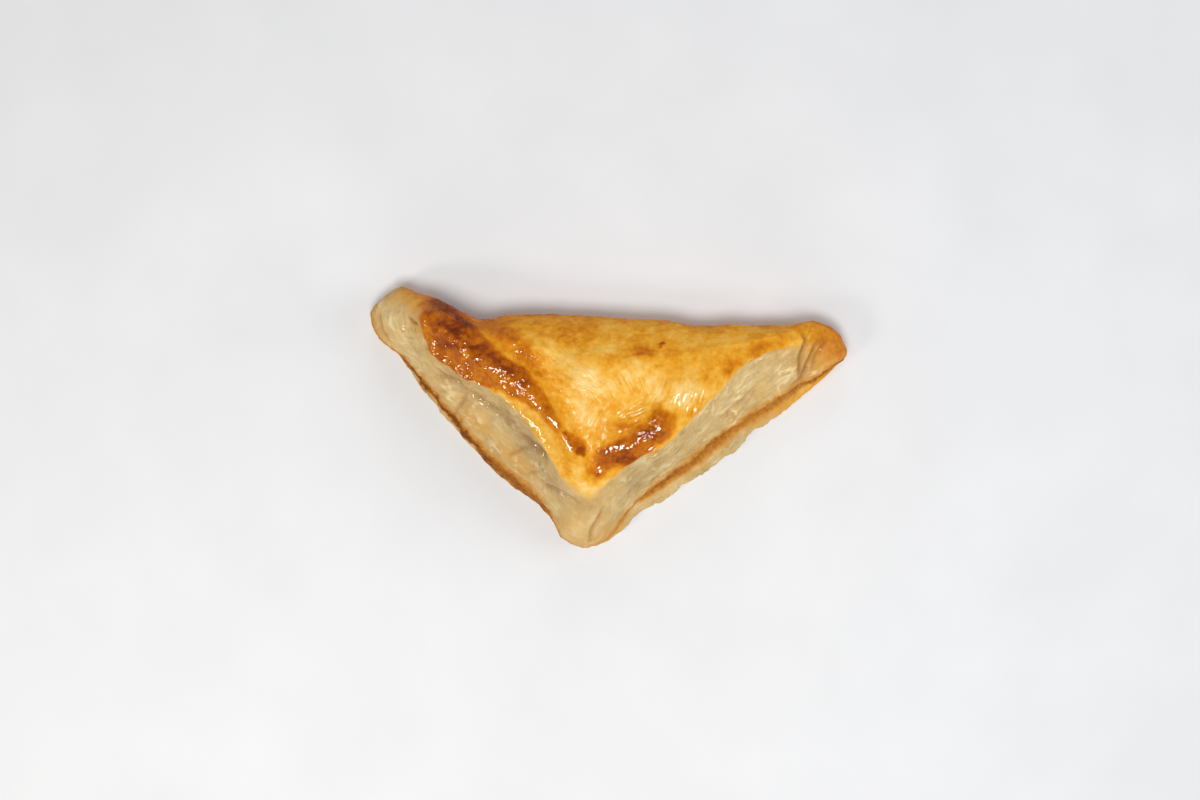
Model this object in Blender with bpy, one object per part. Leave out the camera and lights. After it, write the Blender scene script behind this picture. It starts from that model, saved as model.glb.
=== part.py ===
"""A triangular puff pastry turnover: a square of dough folded corner to corner over its filling and baked.

X runs along the fold, from the blunt ear A to the browned ear B. The corner C, where the two cut edges meet,
points to -Y. +Z is up, and the origin is under the middle of the whole piece, on what it rests on.
Shapes are worked out in millimetres and written to the mesh in metres.
"""

from collections import namedtuple

import bpy
import numpy as np

MM = 0.001
TINY = 1e-4
NAME = "patty"

CRUST_COLOUR = (0.66, 0.36, 0.10, 1.0)
CRUST_ROUGHNESS = 0.45

# The mesh: columns stand round the outline, half on the two cut edges and half on the fold.
COLUMNS_A_SIDE = 66
EDGE_ROWS = 3
WALL_ROWS = 9
TOP_RINGS = 25

# The cut edge, seen from the side: the lower sheet, the seam over it, and the lip of the upper sheet.
SHEET_TOP = 8.0
SEAM_HEIGHT = 9.4
LIP_HEIGHT = 11.2
SHEET_SLOPE_RUN = 0.55
# On a side with no cut edge these three lie at shares of the way up to where the lip would be, itself at a
# share of the whole side.
LEDGE_SHARES = (0.3, 0.7, 1.0)
LIP_SHARE = 0.16

# How far the outline draws in underneath: on a sharp cut edge, and on the round of the fold or an ear.
FOOT_INSET_CUT = 1.2
FOOT_INSET_ROUND = 6.5
ROUND_END_ANGLE = np.radians(30.0)

# Columns are spaced by the length of the rim and, for the rest, by that of the top's edge.
RIM_SHARE = 0.6
# How long the spine is, on which the top's rings close, for the length of the top.
SPINE_SHRINK = 0.94

# One upright section each, in turn round the outline from the tip of ear A. x, y is the widest point at
# height rim; gx, gy is where the glazed top begins, at height top. ledge is how far the lower sheet
# stands out past the lip, seam is how deep the seam is cut, and round is 1 where the side is a round
# bulge with no cut edge.
Section = namedtuple("Section", "x y gx gy rim top ledge seam round")
SECTIONS = (
    # Ear A, a blunt end that shows its layers.
    Section(-105.2, 46.5, -85.6, 40.8, 8.0, 26.0, 1.0, 0.3, 0.85),
    Section(-103.0, 37.0, -82.0, 35.0, 7.5, 27.0, 1.2, 0.8, 0.70),
    Section(-92.5, 27.0, -76.5, 28.0, 5.5, 29.5, 1.8, 1.8, 0.25),
    # The left cut edge, whose wall is the widest.
    Section(-84.5, 15.5, -68.0, 21.5, 4.5, 32.0, 2.3, 2.2, 0.0),
    Section(-73.5, 1.5, -58.0, 15.5, 4.5, 34.0, 2.6, 2.4, 0.0),
    Section(-63.0, -11.0, -46.0, 9.0, 4.5, 36.0, 2.6, 2.4, 0.0),
    Section(-52.5, -22.5, -36.5, 0.5, 4.5, 37.0, 2.8, 2.4, 0.0),
    Section(-41.5, -31.5, -30.0, -9.0, 4.5, 37.0, 2.8, 2.2, 0.0),
    Section(-30.5, -39.0, -24.0, -19.0, 5.5, 36.0, 2.0, 1.8, 0.05),
    Section(-25.0, -46.0, -18.5, -27.5, 7.0, 33.5, 1.4, 1.0, 0.35),
    # Corner C, a rounded bulb.
    Section(-21.0, -53.0, -13.0, -33.0, 8.0, 31.0, 1.2, 0.5, 0.75),
    Section(-10.0, -58.0, -7.5, -35.5, 8.0, 30.0, 1.2, 0.6, 0.85),
    Section(-1.5, -55.5, -3.0, -32.0, 7.0, 31.0, 2.4, 1.4, 0.60),
    # The right cut edge, where the lower sheet stands out as a wide ledge.
    Section(6.5, -49.5, 2.0, -26.0, 5.5, 33.5, 4.6, 2.2, 0.20),
    Section(15.0, -42.0, 9.0, -20.5, 4.5, 35.5, 6.2, 2.6, 0.0),
    Section(27.0, -35.0, 18.5, -14.5, 4.5, 37.0, 7.0, 2.8, 0.0),
    Section(40.0, -26.5, 28.5, -8.0, 4.5, 37.0, 8.0, 2.8, 0.0),
    Section(52.5, -17.0, 38.0, 3.0, 4.5, 36.0, 8.5, 2.8, 0.0),
    Section(64.5, -7.5, 47.0, 12.0, 4.5, 35.0, 8.0, 2.8, 0.0),
    Section(78.5, 3.0, 56.0, 21.5, 5.0, 32.5, 6.5, 2.4, 0.0),
    Section(90.5, 13.5, 67.5, 28.0, 6.0, 29.5, 4.5, 1.8, 0.10),
    Section(100.0, 22.0, 79.0, 31.2, 8.0, 26.0, 2.6, 1.0, 0.50),
    # Ear B, rounded and browned.
    Section(105.2, 29.5, 88.0, 34.3, 9.5, 23.5, 1.0, 0.4, 0.90),
    Section(101.5, 37.5, 88.2, 37.0, 10.0, 22.5, 0.0, 0.0, 1.0),
    Section(92.0, 42.6, 84.0, 38.0, 10.5, 22.5, 0.0, 0.0, 1.0),
    # The fold.
    Section(80.0, 41.6, 76.0, 36.8, 11.0, 25.5, 0.0, 0.0, 1.0),
    Section(66.5, 40.8, 64.0, 34.0, 11.0, 28.5, 0.0, 0.0, 1.0),
    Section(53.0, 41.6, 51.0, 31.5, 11.5, 31.0, 0.0, 0.0, 1.0),
    Section(40.0, 40.5, 39.0, 29.0, 11.5, 33.0, 0.0, 0.0, 1.0),
    Section(27.0, 42.8, 26.5, 30.0, 11.5, 34.5, 0.0, 0.0, 1.0),
    Section(7.0, 44.0, 7.0, 31.0, 12.0, 35.5, 0.0, 0.0, 1.0),
    Section(-17.0, 45.4, -16.0, 32.0, 12.0, 35.5, 0.0, 0.0, 1.0),
    Section(-43.0, 45.6, -41.0, 34.0, 12.0, 35.5, 0.0, 0.0, 1.0),
    Section(-56.5, 43.6, -53.5, 36.0, 12.0, 35.0, 0.0, 0.0, 1.0),
    Section(-66.5, 47.8, -63.0, 40.5, 12.0, 34.0, 0.0, 0.0, 1.0),
    Section(-75.0, 52.6, -71.5, 45.0, 11.5, 32.0, 0.0, 0.0, 1.0),
    Section(-84.0, 55.4, -79.0, 47.5, 10.5, 29.5, 0.0, 0.0, 1.0),
    Section(-92.0, 57.9, -83.0, 48.0, 10.0, 27.5, 0.0, 0.0, 1.0),
    Section(-99.5, 53.5, -85.5, 46.0, 9.0, 26.5, 0.4, 0.0, 0.95),
)
TIP_B = 22

# The dome of the top: the height it tends to, and the runs over which it climbs from the cut edges, which is
# slow, and falls to the fold, which is fast.
DOME_HEIGHT = 13.5
DOME_CLIMB = 40.0
DOME_FALL = 8.0

# The ridge runs from ear A towards corner C, between the left cut edge and a valley on its other side.
RIDGE_LINE = (
    (-76.0, 43.0), (-61.6, 30.2), (-47.2, 19.2), (-34.5, 10.7), (-25.7, 1.8), (-18.9, -9.6), (-13.4, -20.2),
    (-11.5, -31.0),
)
# Its height and half width from end to end, as (share along it, height, half width).
RIDGE_SHAPE = (
    (0.0, 2.6, 8.5), (0.25, 3.8, 8.0), (0.5, 3.9, 6.5), (0.7, 3.4, 5.0), (0.85, 2.6, 4.2), (1.0, 1.0, 4.0),
)
RIDGE_STEEPNESS = 2.6
RIDGE_CREST = 0.7
RIDGE_CREST_WIDTH = 2.6
VALLEY_SHIFT = 1.75
VALLEY_DEPTH = 2.6
VALLEY_WIDTH = 5.5
# Small ripples all over the top: their height, and how far apart the two crossing sets are along x and y.
RIPPLE_HEIGHT = 0.35
RIPPLE_RUNS = ((5.1, 9.0), (-13.0, 4.3))
# How far the relief of the top takes to rise from the edge of the glaze, and how softly it starts.
RELIEF_RUN = 4.0
SHOULDER_POWER = 1.5

# Swells of the top: centre x, y, half length, half width, turn in degrees, height.
Swell = namedtuple("Swell", "x y long wide turn height")
SWELLS = (
    Swell(6.0, -14.0, 10.5, 5.5, 17.0, 2.6),
    Swell(17.5, -8.5, 8.0, 4.5, 22.0, 1.6),
    Swell(22.0, -1.0, 5.5, 7.5, 0.0, 2.8),
    Swell(-12.6, -12.8, 4.5, 4.5, 0.0, 1.2),
    Swell(-10.0, 16.0, 10.0, 8.0, -30.0, 1.8),
    Swell(32.0, 12.0, 9.0, 7.0, 30.0, 1.8),
    Swell(10.0, 27.0, 20.0, 6.0, 4.0, 1.2),
    Swell(8.0, 4.0, 8.0, 6.0, 20.0, -1.8),
    Swell(50.0, 22.0, 9.0, 4.0, 38.0, 0.9),
    Swell(66.0, 32.0, 12.0, 4.5, 14.0, 1.0),
    Swell(-69.5, 41.5, 6.0, 4.0, -20.0, 1.4),
    Swell(-66.0, 35.0, 5.0, 3.5, -30.0, 1.2),
    Swell(-52.0, 23.0, 6.0, 4.5, -45.0, 1.0),
    Swell(95.0, 31.0, 7.0, 4.5, 35.0, 1.6),
)

# Broad layers that stand out of the cut wall: place along the outline as section numbers from and to,
# height on the wall from 0 to 1, half width there, and how proud they stand. They fade in from their ends.
Layer = namedtuple("Layer", "start end at half proud")
LAYERS = (
    Layer(2.4, 9.4, 0.30, 0.16, 1.3),
    Layer(2.8, 7.2, 0.60, 0.06, -1.3),
    Layer(4.6, 9.0, 0.80, 0.08, 0.5),
    Layer(13.0, 21.0, 0.10, 0.10, 0.9),
    Layer(14.0, 19.0, 0.45, 0.10, -0.7),
    Layer(15.0, 21.0, 0.78, 0.10, 0.6),
)
LAYER_FADE = 0.5

# Torn tabs of the lower sheet's edge: middle as a section number, half width in sections, reach.
Tab = namedtuple("Tab", "middle half reach")
TABS = (
    Tab(14.9, 0.28, 1.0),
    Tab(15.5, 0.16, -1.2),
    Tab(17.3, 0.22, 1.1),
    Tab(18.0, 0.20, -1.3),
    Tab(5.6, 0.25, -0.8),
    Tab(8.6, 0.22, -1.0),
)


def closed_spline(keys, values, at):
    """Reads a smooth closed curve through values, one at each key, at the given places."""
    count = len(values)
    gaps = np.diff(keys)[:, None]
    rise = (np.roll(values, -1, axis=0) - values) / gaps
    before = np.roll(gaps, 1, axis=0)
    slopes = (rise * before + np.roll(rise, 1, axis=0) * gaps) / (gaps + before)
    start = np.clip(np.searchsorted(keys, at, side="right") - 1, 0, count - 1)
    gap = gaps[start]
    t = ((at - keys[start]) / gap[:, 0])[:, None]
    after = (start + 1) % count
    return (
        values[start] * (2 * t**3 - 3 * t**2 + 1)
        + slopes[start] * gap * (t**3 - 2 * t**2 + t)
        + values[after] * (3 * t**2 - 2 * t**3)
        + slopes[after] * gap * (t**3 - t**2)
    )


def columns_round_outline(a_side):
    """The section values at each column, and each column's place as a section number."""
    table = np.array(SECTIONS)
    steps = np.roll(table[:, :4], -1, axis=0) - table[:, :4]
    rim_steps, edge_steps = np.hypot(steps[:, 0], steps[:, 1]), np.hypot(steps[:, 2], steps[:, 3])
    steps = RIM_SHARE * rim_steps + (1 - RIM_SHARE) * edge_steps
    keys = np.concatenate([[0.0], np.cumsum(steps)])
    split = keys[TIP_B]
    places = np.concatenate(
        [
            np.linspace(0.0, split, a_side, endpoint=False),
            np.linspace(split, keys[-1], a_side, endpoint=False),
        ]
    )
    values = closed_spline(keys, table, places)
    numbers = np.interp(places, keys, np.arange(len(keys)))
    columns = Section(*values.T)
    return columns._replace(round=np.clip(columns.round, 0, 1), seam=np.clip(columns.seam, 0, None)), numbers


def torn_edge(numbers):
    """How far the torn tabs reach out at each column."""
    reach = np.zeros_like(numbers)
    for tab in TABS:
        reach += tab.reach * np.exp(-(((numbers - tab.middle) / tab.half) ** 2))
    return reach


def proud_layers(numbers, share):
    """How far the broad layers stand out at the given share of the wall's height."""
    out = np.zeros_like(numbers)
    for layer in LAYERS:
        along = np.clip(np.minimum(numbers - layer.start, layer.end - numbers) / LAYER_FADE, 0, 1)
        out += layer.proud * along * np.exp(-(((share - layer.at) / layer.half) ** 2))
    return out


def side_rows(columns, numbers, edge_rows, wall_rows):
    """The rows from the foot up to the edge of the glazed top, each an array of points."""
    rim = np.column_stack([columns.x, columns.y])
    inward = np.column_stack([columns.gx, columns.gy]) - rim
    run = np.linalg.norm(inward, axis=1)
    inward /= run[:, None]
    rounded = columns.round
    cut = 1 - rounded
    rows = []

    def add(inset, height):
        rows.append(np.column_stack([rim + inward * inset[:, None], height]))

    foot = FOOT_INSET_CUT * cut + FOOT_INSET_ROUND * rounded
    for step in range(edge_rows + 1):
        t = step / edge_rows
        angle = t * np.pi / 2
        arc_inset = foot * (1 - np.sin(angle))
        arc_height = columns.rim * (1 - np.cos(angle))
        torn = torn_edge(numbers) * t
        add(cut * foot * (1 - t) + rounded * arc_inset - torn, cut * columns.rim * t + rounded * arc_height)

    def round_side(share):
        angle = share * ROUND_END_ANGLE
        inset = run * (1 - np.cos(angle)) / (1 - np.cos(ROUND_END_ANGLE))
        height = columns.rim + (columns.top - columns.rim) * np.sin(angle) / np.sin(ROUND_END_ANGLE)
        return inset, height

    ledge_points = (
        (SHEET_SLOPE_RUN * columns.ledge, SHEET_TOP),
        (columns.ledge + columns.seam, SEAM_HEIGHT),
        (columns.ledge, LIP_HEIGHT),
    )
    for share, (inset, height) in zip(LEDGE_SHARES, ledge_points):
        arc_inset, arc_height = round_side(share * LIP_SHARE)
        add(cut * inset + rounded * arc_inset, cut * height + rounded * arc_height)
    for step in range(1, wall_rows + 1):
        t = step / wall_rows
        arc_inset, arc_height = round_side(LIP_SHARE + (1 - LIP_SHARE) * t)
        proud = proud_layers(numbers, t) * cut
        inset = columns.ledge + (run - columns.ledge) * t - proud
        height = LIP_HEIGHT + (columns.top - LIP_HEIGHT) * t
        add(cut * inset + rounded * arc_inset, cut * height + rounded * arc_height)
    return rows


def line_distance(x, y, line):
    """Distance to a line of points, with a share along it, and which side: positive on its left."""
    best = np.full(x.shape, np.inf)
    along = np.zeros_like(best)
    side = np.zeros_like(best)
    points = np.array(line)
    for number, (start, end) in enumerate(zip(points[:-1], points[1:])):
        step = end - start
        share = ((x - start[0]) * step[0] + (y - start[1]) * step[1]) / (step @ step)
        held = np.clip(share, 0, 1)
        gap = np.hypot(x - start[0] - held * step[0], y - start[1] - held * step[1])
        cross = step[0] * (y - start[1]) - step[1] * (x - start[0])
        nearer = gap < best
        best = np.where(nearer, gap, best)
        along = np.where(nearer, (number + held) / (len(points) - 1), along)
        side = np.where(nearer, np.sign(cross), side)
    return best, along, side


def top_relief(x, y):
    """Height that the ridge, the valley and the swells add to the plain rise of the top."""
    gap, along, side = line_distance(x, y, RIDGE_LINE)
    place, high, half = np.array(RIDGE_SHAPE).T
    high = np.interp(along, place, high)
    half = np.interp(along, place, half)
    height = high * np.exp(-np.abs(gap / half) ** RIDGE_STEEPNESS)
    height += RIDGE_CREST * along * np.exp(-((gap / RIDGE_CREST_WIDTH) ** 2))
    past = gap * side - VALLEY_SHIFT * half
    height -= VALLEY_DEPTH * np.exp(-((past / VALLEY_WIDTH) ** 2)) * np.sin(np.pi * along)
    for swell in SWELLS:
        turn = np.radians(swell.turn)
        u = (x - swell.x) * np.cos(turn) + (y - swell.y) * np.sin(turn)
        v = (y - swell.y) * np.cos(turn) - (x - swell.x) * np.sin(turn)
        height += swell.height * np.exp(-((u / swell.long) ** 2) - (v / swell.wide) ** 2)
    first, second = (x / run_x + y / run_y for run_x, run_y in RIPPLE_RUNS)
    height += RIPPLE_HEIGHT * np.sin(first) * np.sin(second)
    return height


def plain_top(x, y, edge_row, a_side):
    """The dome of the top over the heights of its edge, and a soft distance to that edge.

    Each piece of the edge pulls on a point by the integral of 1 / distance cubed along it. The pulls weigh
    the edge's heights, and their sum turns back into a distance that has no kinks.
    """
    pulls = np.zeros((2,) + x.shape)
    carried = np.zeros_like(x)
    for number, (start, end) in enumerate(zip(edge_row, np.roll(edge_row, -1, axis=0))):
        step = end[:2] - start[:2]
        length = np.hypot(step[0], step[1])
        past_start = ((x - start[0]) * step[0] + (y - start[1]) * step[1]) / length
        to_end = length - past_start
        off_line = np.maximum((x - start[0]) ** 2 + (y - start[1]) ** 2 - past_start**2, 0) + TINY
        from_start = np.sqrt(off_line + past_start**2)
        from_end = np.sqrt(off_line + to_end**2)
        pull = (to_end / from_end + past_start / from_start) / off_line
        pulls[int(number >= a_side)] += pull
        slope = (end[2] - start[2]) / length
        carried += pull * (start[2] + slope * past_start) + slope * (1 / from_start - 1 / from_end)
    total = pulls.sum(axis=0)
    to_cut, to_fold = np.sqrt(2 / pulls)
    dome = DOME_HEIGHT * (1 - np.exp(-to_cut / DOME_CLIMB)) * (1 - np.exp(-to_fold / DOME_FALL))
    return carried / total + dome, np.sqrt(2 / total)


def top_rows(edge_row, a_side, rings):
    """The rings of the glazed top, inside its edge. They close on a spine, where facing columns meet."""
    edge = edge_row[:, :2]
    facing = (-np.arange(2 * a_side)) % (2 * a_side)
    middle = (edge + edge[facing]) / 2
    centre = middle[: a_side + 1].mean(axis=0)
    spine = centre + (middle - centre) * SPINE_SHRINK
    inward = (np.arange(1, rings + 1) / rings)[:, None, None]
    plan = edge + (spine - edge) * inward
    x, y = plan[..., 0], plan[..., 1]
    height, to_edge = plain_top(x, y, edge_row, a_side)
    height += top_relief(x, y) * (1 - np.exp(-((to_edge / RELIEF_RUN) ** SHOULDER_POWER)))
    return list(np.concatenate([plan, height[..., None]], axis=2))


def surface(a_side, edge_rows, wall_rows, rings):
    """All rows of points, from the foot to the spine."""
    columns, numbers = columns_round_outline(a_side)
    rows = side_rows(columns, numbers, edge_rows, wall_rows)
    return rows + top_rows(rows[-1], a_side, rings)


def faces_of(rows, a_side):
    """Quads between neighbouring rows, across the foot, and onto the spine, whose points are shared."""
    count = 2 * a_side
    last = len(rows) - 1
    facing = (-np.arange(count)) % count

    def corner(row, column):
        column %= count
        if row == last:
            column = min(column, int(facing[column]))
        return row * count + column

    faces = []
    for row in range(last):
        for column in range(count):
            ring = (
                corner(row, column),
                corner(row, column + 1),
                corner(row + 1, column + 1),
                corner(row + 1, column),
            )
            faces.append(ring)
    for column in range(a_side):
        ring = (column, int(facing[column]), int(facing[column + 1]), column + 1)
        faces.append(tuple(dict.fromkeys(ring)))
    return faces


def clear_scene():
    for item in list(bpy.data.objects):
        bpy.data.objects.remove(item, do_unlink=True)


def crust_material():
    material = bpy.data.materials.new("baked_puff_pastry")
    material.use_nodes = True
    shader = material.node_tree.nodes["Principled BSDF"]
    shader.inputs["Base Color"].default_value = CRUST_COLOUR
    shader.inputs["Roughness"].default_value = CRUST_ROUGHNESS
    shader.inputs["Metallic"].default_value = 0.0
    return material


def make_patty(collection):
    rows = surface(COLUMNS_A_SIDE, EDGE_ROWS, WALL_ROWS, TOP_RINGS)
    points = np.concatenate(rows)
    middle = (points.min(axis=0) + points.max(axis=0)) / 2
    points -= [middle[0], middle[1], 0.0]
    faces = faces_of(rows, COLUMNS_A_SIDE)
    mesh = bpy.data.meshes.new(NAME)
    mesh.from_pydata((points * MM).tolist(), [], faces)
    mesh.update()
    mesh.validate()
    mesh.shade_smooth()
    mesh.materials.append(crust_material())
    patty = bpy.data.objects.new(NAME, mesh)
    collection.objects.link(patty)
    return patty


def main():
    clear_scene()
    collection = bpy.data.collections.new("chicken_patty")
    bpy.context.scene.collection.children.link(collection)
    make_patty(collection)


main()
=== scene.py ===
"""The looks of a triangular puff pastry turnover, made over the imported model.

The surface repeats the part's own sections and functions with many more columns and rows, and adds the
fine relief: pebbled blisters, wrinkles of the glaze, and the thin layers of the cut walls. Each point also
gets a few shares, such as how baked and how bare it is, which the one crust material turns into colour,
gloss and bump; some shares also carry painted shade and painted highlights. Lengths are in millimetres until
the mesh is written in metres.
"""

from collections import namedtuple

import bpy
import numpy as np
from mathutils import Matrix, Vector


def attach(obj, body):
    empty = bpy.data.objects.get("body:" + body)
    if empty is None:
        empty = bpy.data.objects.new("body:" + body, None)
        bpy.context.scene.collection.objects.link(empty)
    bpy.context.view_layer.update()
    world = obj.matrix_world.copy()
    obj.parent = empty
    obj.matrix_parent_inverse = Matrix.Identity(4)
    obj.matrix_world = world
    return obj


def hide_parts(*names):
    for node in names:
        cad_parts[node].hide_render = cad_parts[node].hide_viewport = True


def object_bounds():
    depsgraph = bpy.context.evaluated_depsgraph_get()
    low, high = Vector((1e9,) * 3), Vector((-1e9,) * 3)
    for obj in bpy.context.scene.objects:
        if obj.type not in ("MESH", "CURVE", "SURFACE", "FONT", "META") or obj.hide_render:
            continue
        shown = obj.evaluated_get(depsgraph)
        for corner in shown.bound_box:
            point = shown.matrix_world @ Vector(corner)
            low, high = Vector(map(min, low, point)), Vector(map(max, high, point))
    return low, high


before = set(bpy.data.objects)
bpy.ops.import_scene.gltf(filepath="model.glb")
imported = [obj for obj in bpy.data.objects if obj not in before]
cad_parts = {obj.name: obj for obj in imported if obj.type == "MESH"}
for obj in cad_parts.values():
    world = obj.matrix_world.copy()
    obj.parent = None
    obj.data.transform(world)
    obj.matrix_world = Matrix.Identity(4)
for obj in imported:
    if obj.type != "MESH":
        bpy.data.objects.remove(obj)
CAD_BOX = [list(corner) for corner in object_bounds()]


def rows_of(kind, *rows):
    """A table whose rows are all of one named kind."""
    return [kind(*row) for row in rows]


MM = 0.001
TINY = 1e-4
SHORTEST_NORMAL = 1e-9

# The mesh: columns stand round the outline, half on the two cut edges and half on the fold.
COLUMNS_A_SIDE = 400
EDGE_ROWS = 3
WALL_ROWS = 9
TOP_RINGS = 66
EDGE_SPLITS = 2
LEDGE_SPLITS = 4
WALL_SPLITS = 4

# The cut edge, seen from the side: the lower sheet, the seam over it, and the lip of the upper sheet.
SHEET_TOP = 8.0
SEAM_HEIGHT = 9.4
LIP_HEIGHT = 11.2
SHEET_SLOPE_RUN = 0.55
# On a side with no cut edge these three lie at shares of the way up to where the lip would be, itself at a
# share of the whole side.
LEDGE_SHARES = (0.3, 0.7, 1.0)
LIP_SHARE = 0.16

FOOT_INSET_CUT = 1.2
FOOT_INSET_ROUND = 6.5
ROUND_END_ANGLE = np.radians(30.0)
# Columns are spaced by the length of the rim and, for the rest, by that of the top's edge.
RIM_SHARE = 0.6
# How long the spine is, on which the top's rings close, for the length of the top.
SPINE_SHRINK = 0.94

# One upright section each, in turn round the outline from the tip of ear A, as in the part.
Section = namedtuple("Section", "x y gx gy rim top ledge seam round")
SECTIONS = rows_of(
    Section,
    # Ear A, a blunt end that shows its layers.
    (-105.2, 46.5, -85.6, 40.8, 8, 26, 1, 0.3, 0.85),
    (-103, 37, -82, 35, 7.5, 27, 1.2, 0.8, 0.70),
    (-92.5, 27, -76.5, 28, 5.5, 29.5, 1.8, 1.8, 0.25),
    # The left cut edge, whose wall is the widest.
    (-84.5, 15.5, -68, 21.5, 4.5, 32, 2.3, 2.2, 0), (-73.5, 1.5, -58, 15.5, 4.5, 34, 2.6, 2.4, 0),
    (-63, -11, -46, 9, 4.5, 36, 2.6, 2.4, 0),
    (-52.5, -22.5, -36.5, 0.5, 4.5, 37, 2.8, 2.4, 0),
    (-41.5, -31.5, -30, -9, 4.5, 37, 2.8, 2.2, 0),
    (-30.5, -39, -24, -19, 5.5, 36, 2, 1.8, 0.05),
    (-25, -46, -18.5, -27.5, 7, 33.5, 1.4, 1, 0.35),
    # Corner C, a rounded bulb.
    (-21, -53, -13, -33, 8, 31, 1.2, 0.5, 0.75),
    (-10, -58, -7.5, -35.5, 8, 30, 1.2, 0.6, 0.85),
    (-1.5, -55.5, -3, -32, 7, 31, 2.4, 1.4, 0.60),
    # The right cut edge, where the lower sheet stands out as a wide ledge.
    (6.5, -49.5, 2, -26, 5.5, 33.5, 4.6, 2.2, 0.20), (15, -42, 9, -20.5, 4.5, 35.5, 6.2, 2.6, 0),
    (27, -35, 18.5, -14.5, 4.5, 37, 7, 2.8, 0), (40, -26.5, 28.5, -8, 4.5, 37, 8, 2.8, 0),
    (52.5, -17, 38, 3, 4.5, 36, 8.5, 2.8, 0), (64.5, -7.5, 47, 12, 4.5, 35, 8, 2.8, 0),
    (78.5, 3, 56, 21.5, 5, 32.5, 6.5, 2.4, 0), (90.5, 13.5, 67.5, 28, 6, 29.5, 4.5, 1.8, 0.10),
    (100, 22, 79, 31.2, 8, 26, 2.6, 1, 0.50),
    # Ear B, rounded and browned.
    (105.2, 29.5, 88, 34.3, 9.5, 23.5, 1, 0.4, 0.90),
    (101.5, 37.5, 88.2, 37, 10, 22.5, 0, 0, 1), (92, 42.6, 84, 38, 10.5, 22.5, 0, 0, 1),
    # The fold.
    (80, 41.6, 76, 36.8, 11, 25.5, 0, 0, 1), (66.5, 40.8, 64, 34, 11, 28.5, 0, 0, 1),
    (53, 41.6, 51, 31.5, 11.5, 31, 0, 0, 1), (40, 40.5, 39, 29, 11.5, 33, 0, 0, 1),
    (27, 42.8, 26.5, 30, 11.5, 34.5, 0, 0, 1), (7, 44, 7, 31, 12, 35.5, 0, 0, 1),
    (-17, 45.4, -16, 32, 12, 35.5, 0, 0, 1),
    (-43, 45.6, -41, 34, 12, 35.5, 0, 0, 1),
    (-56.5, 43.6, -53.5, 36, 12, 35, 0, 0, 1),
    (-66.5, 47.8, -63, 40.5, 12, 34, 0, 0, 1),
    (-75, 52.6, -71.5, 45, 11.5, 32, 0, 0, 1),
    (-84, 55.4, -79, 47.5, 10.5, 29.5, 0, 0, 1),
    (-92, 57.9, -83, 48, 10, 27.5, 0, 0, 1),
    (-99.5, 53.5, -85.5, 46, 9, 26.5, 0.4, 0, 0.95),
)
TIP_B = 22

# The dome of the top: the height it tends to, and the runs over which it climbs from the cut edges, which is
# slow, and falls to the fold, which is fast.
DOME_HEIGHT = 13.5
DOME_CLIMB = 40.0
DOME_FALL = 8.0

# The ridge runs from ear A towards corner C, between the left cut edge and a valley on its other side.
RIDGE_LINE = (
    (-76, 43), (-61.6, 30.2), (-47.2, 19.2), (-34.5, 10.7), (-25.7, 1.8), (-18.9, -9.6), (-13.4, -20.2),
    (-11.5, -31),
)
# Its height and half width from end to end, as (share along it, height, half width).
RIDGE_SHAPE = (
    (0, 2.6, 8.5), (0.25, 3.8, 8), (0.5, 3.9, 6.5), (0.7, 3.4, 5), (0.85, 2.6, 4.2), (1, 1, 4),
)
RIDGE_STEEPNESS = 2.6
RIDGE_CREST = 0.7
RIDGE_CREST_WIDTH = 2.6
VALLEY_SHIFT = 1.75
VALLEY_DEPTH = 2.6
VALLEY_WIDTH = 5.5
# Small ripples all over the top: their height, and how far apart the two crossing sets are along x and y.
RIPPLE_HEIGHT = 0.35
RIPPLE_RUNS = ((5.1, 9.0), (-13.0, 4.3))
# How far the relief of the top takes to rise from the edge of the glaze, and how softly it starts.
RELIEF_RUN = 4.0
SHOULDER_POWER = 1.5

# Swells of the top, and patches of colour: centre x, y, half length, half width, turn in degrees, amount.
Swell = namedtuple("Swell", "x y long wide turn height")
SWELLS = rows_of(
    Swell,
    (6, -14, 10.5, 5.5, 17, 2.6), (17.5, -8.5, 8, 4.5, 22, 1.6), (22, -1, 5.5, 7.5, 0, 2.8),
    (-12.6, -12.8, 4.5, 4.5, 0, 1.2), (-10, 16, 10, 8, -30, 1.8),
    (32, 12, 9, 7, 30, 1.8), (10, 27, 20, 6, 4, 1.2), (8, 4, 8, 6, 20, -1.8),
    (50, 22, 9, 4, 38, 0.9), (66, 32, 12, 4.5, 14, 1),
    (-69.5, 41.5, 6, 4, -20, 1.4), (-66, 35, 5, 3.5, -30, 1.2),
    (-52, 23, 6, 4.5, -45, 1), (95, 31, 7, 4.5, 35, 1.6),
)

# Small swells that only the looks have: the smooth crest of the ridge, and bulges of the walls and ears.
FINE_SWELLS = rows_of(
    Swell,
    (-25.5, 1, 8, 2.1, -54, 0.8), (-62.4, 28.6, 3.6, 2.6, -40, 1),
    (-56, 25.6, 2.6, 2, -40, 0.8), (-76.4, 32.4, 2, 2.2, 0, 0.7),
    (-72.8, 38.6, 3, 2.4, 20, 0.8), (-50.6, 21, 3.2, 2, -40, 0.8),
    (-33.4, 11, 3, 1.8, -40, 0.7), (12.5, -4.8, 3.6, 1.9, 15, 0.7), (23.4, -6.2, 2.2, 2.4, 0, 0.7),
    (-36, -15.5, 1.6, 1, 20, 0.6), (-46, -4.5, 5, 2.6, -40, 0.7),
    (-60, 7, 5, 2.2, -45, 0.6), (-92, 40, 3, 7, 20, 0.6),
    (90.6, 33, 1.2, 4.5, -35, 0.8), (86.8, 29, 0.9, 6, -12, 0.8),
)

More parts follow.
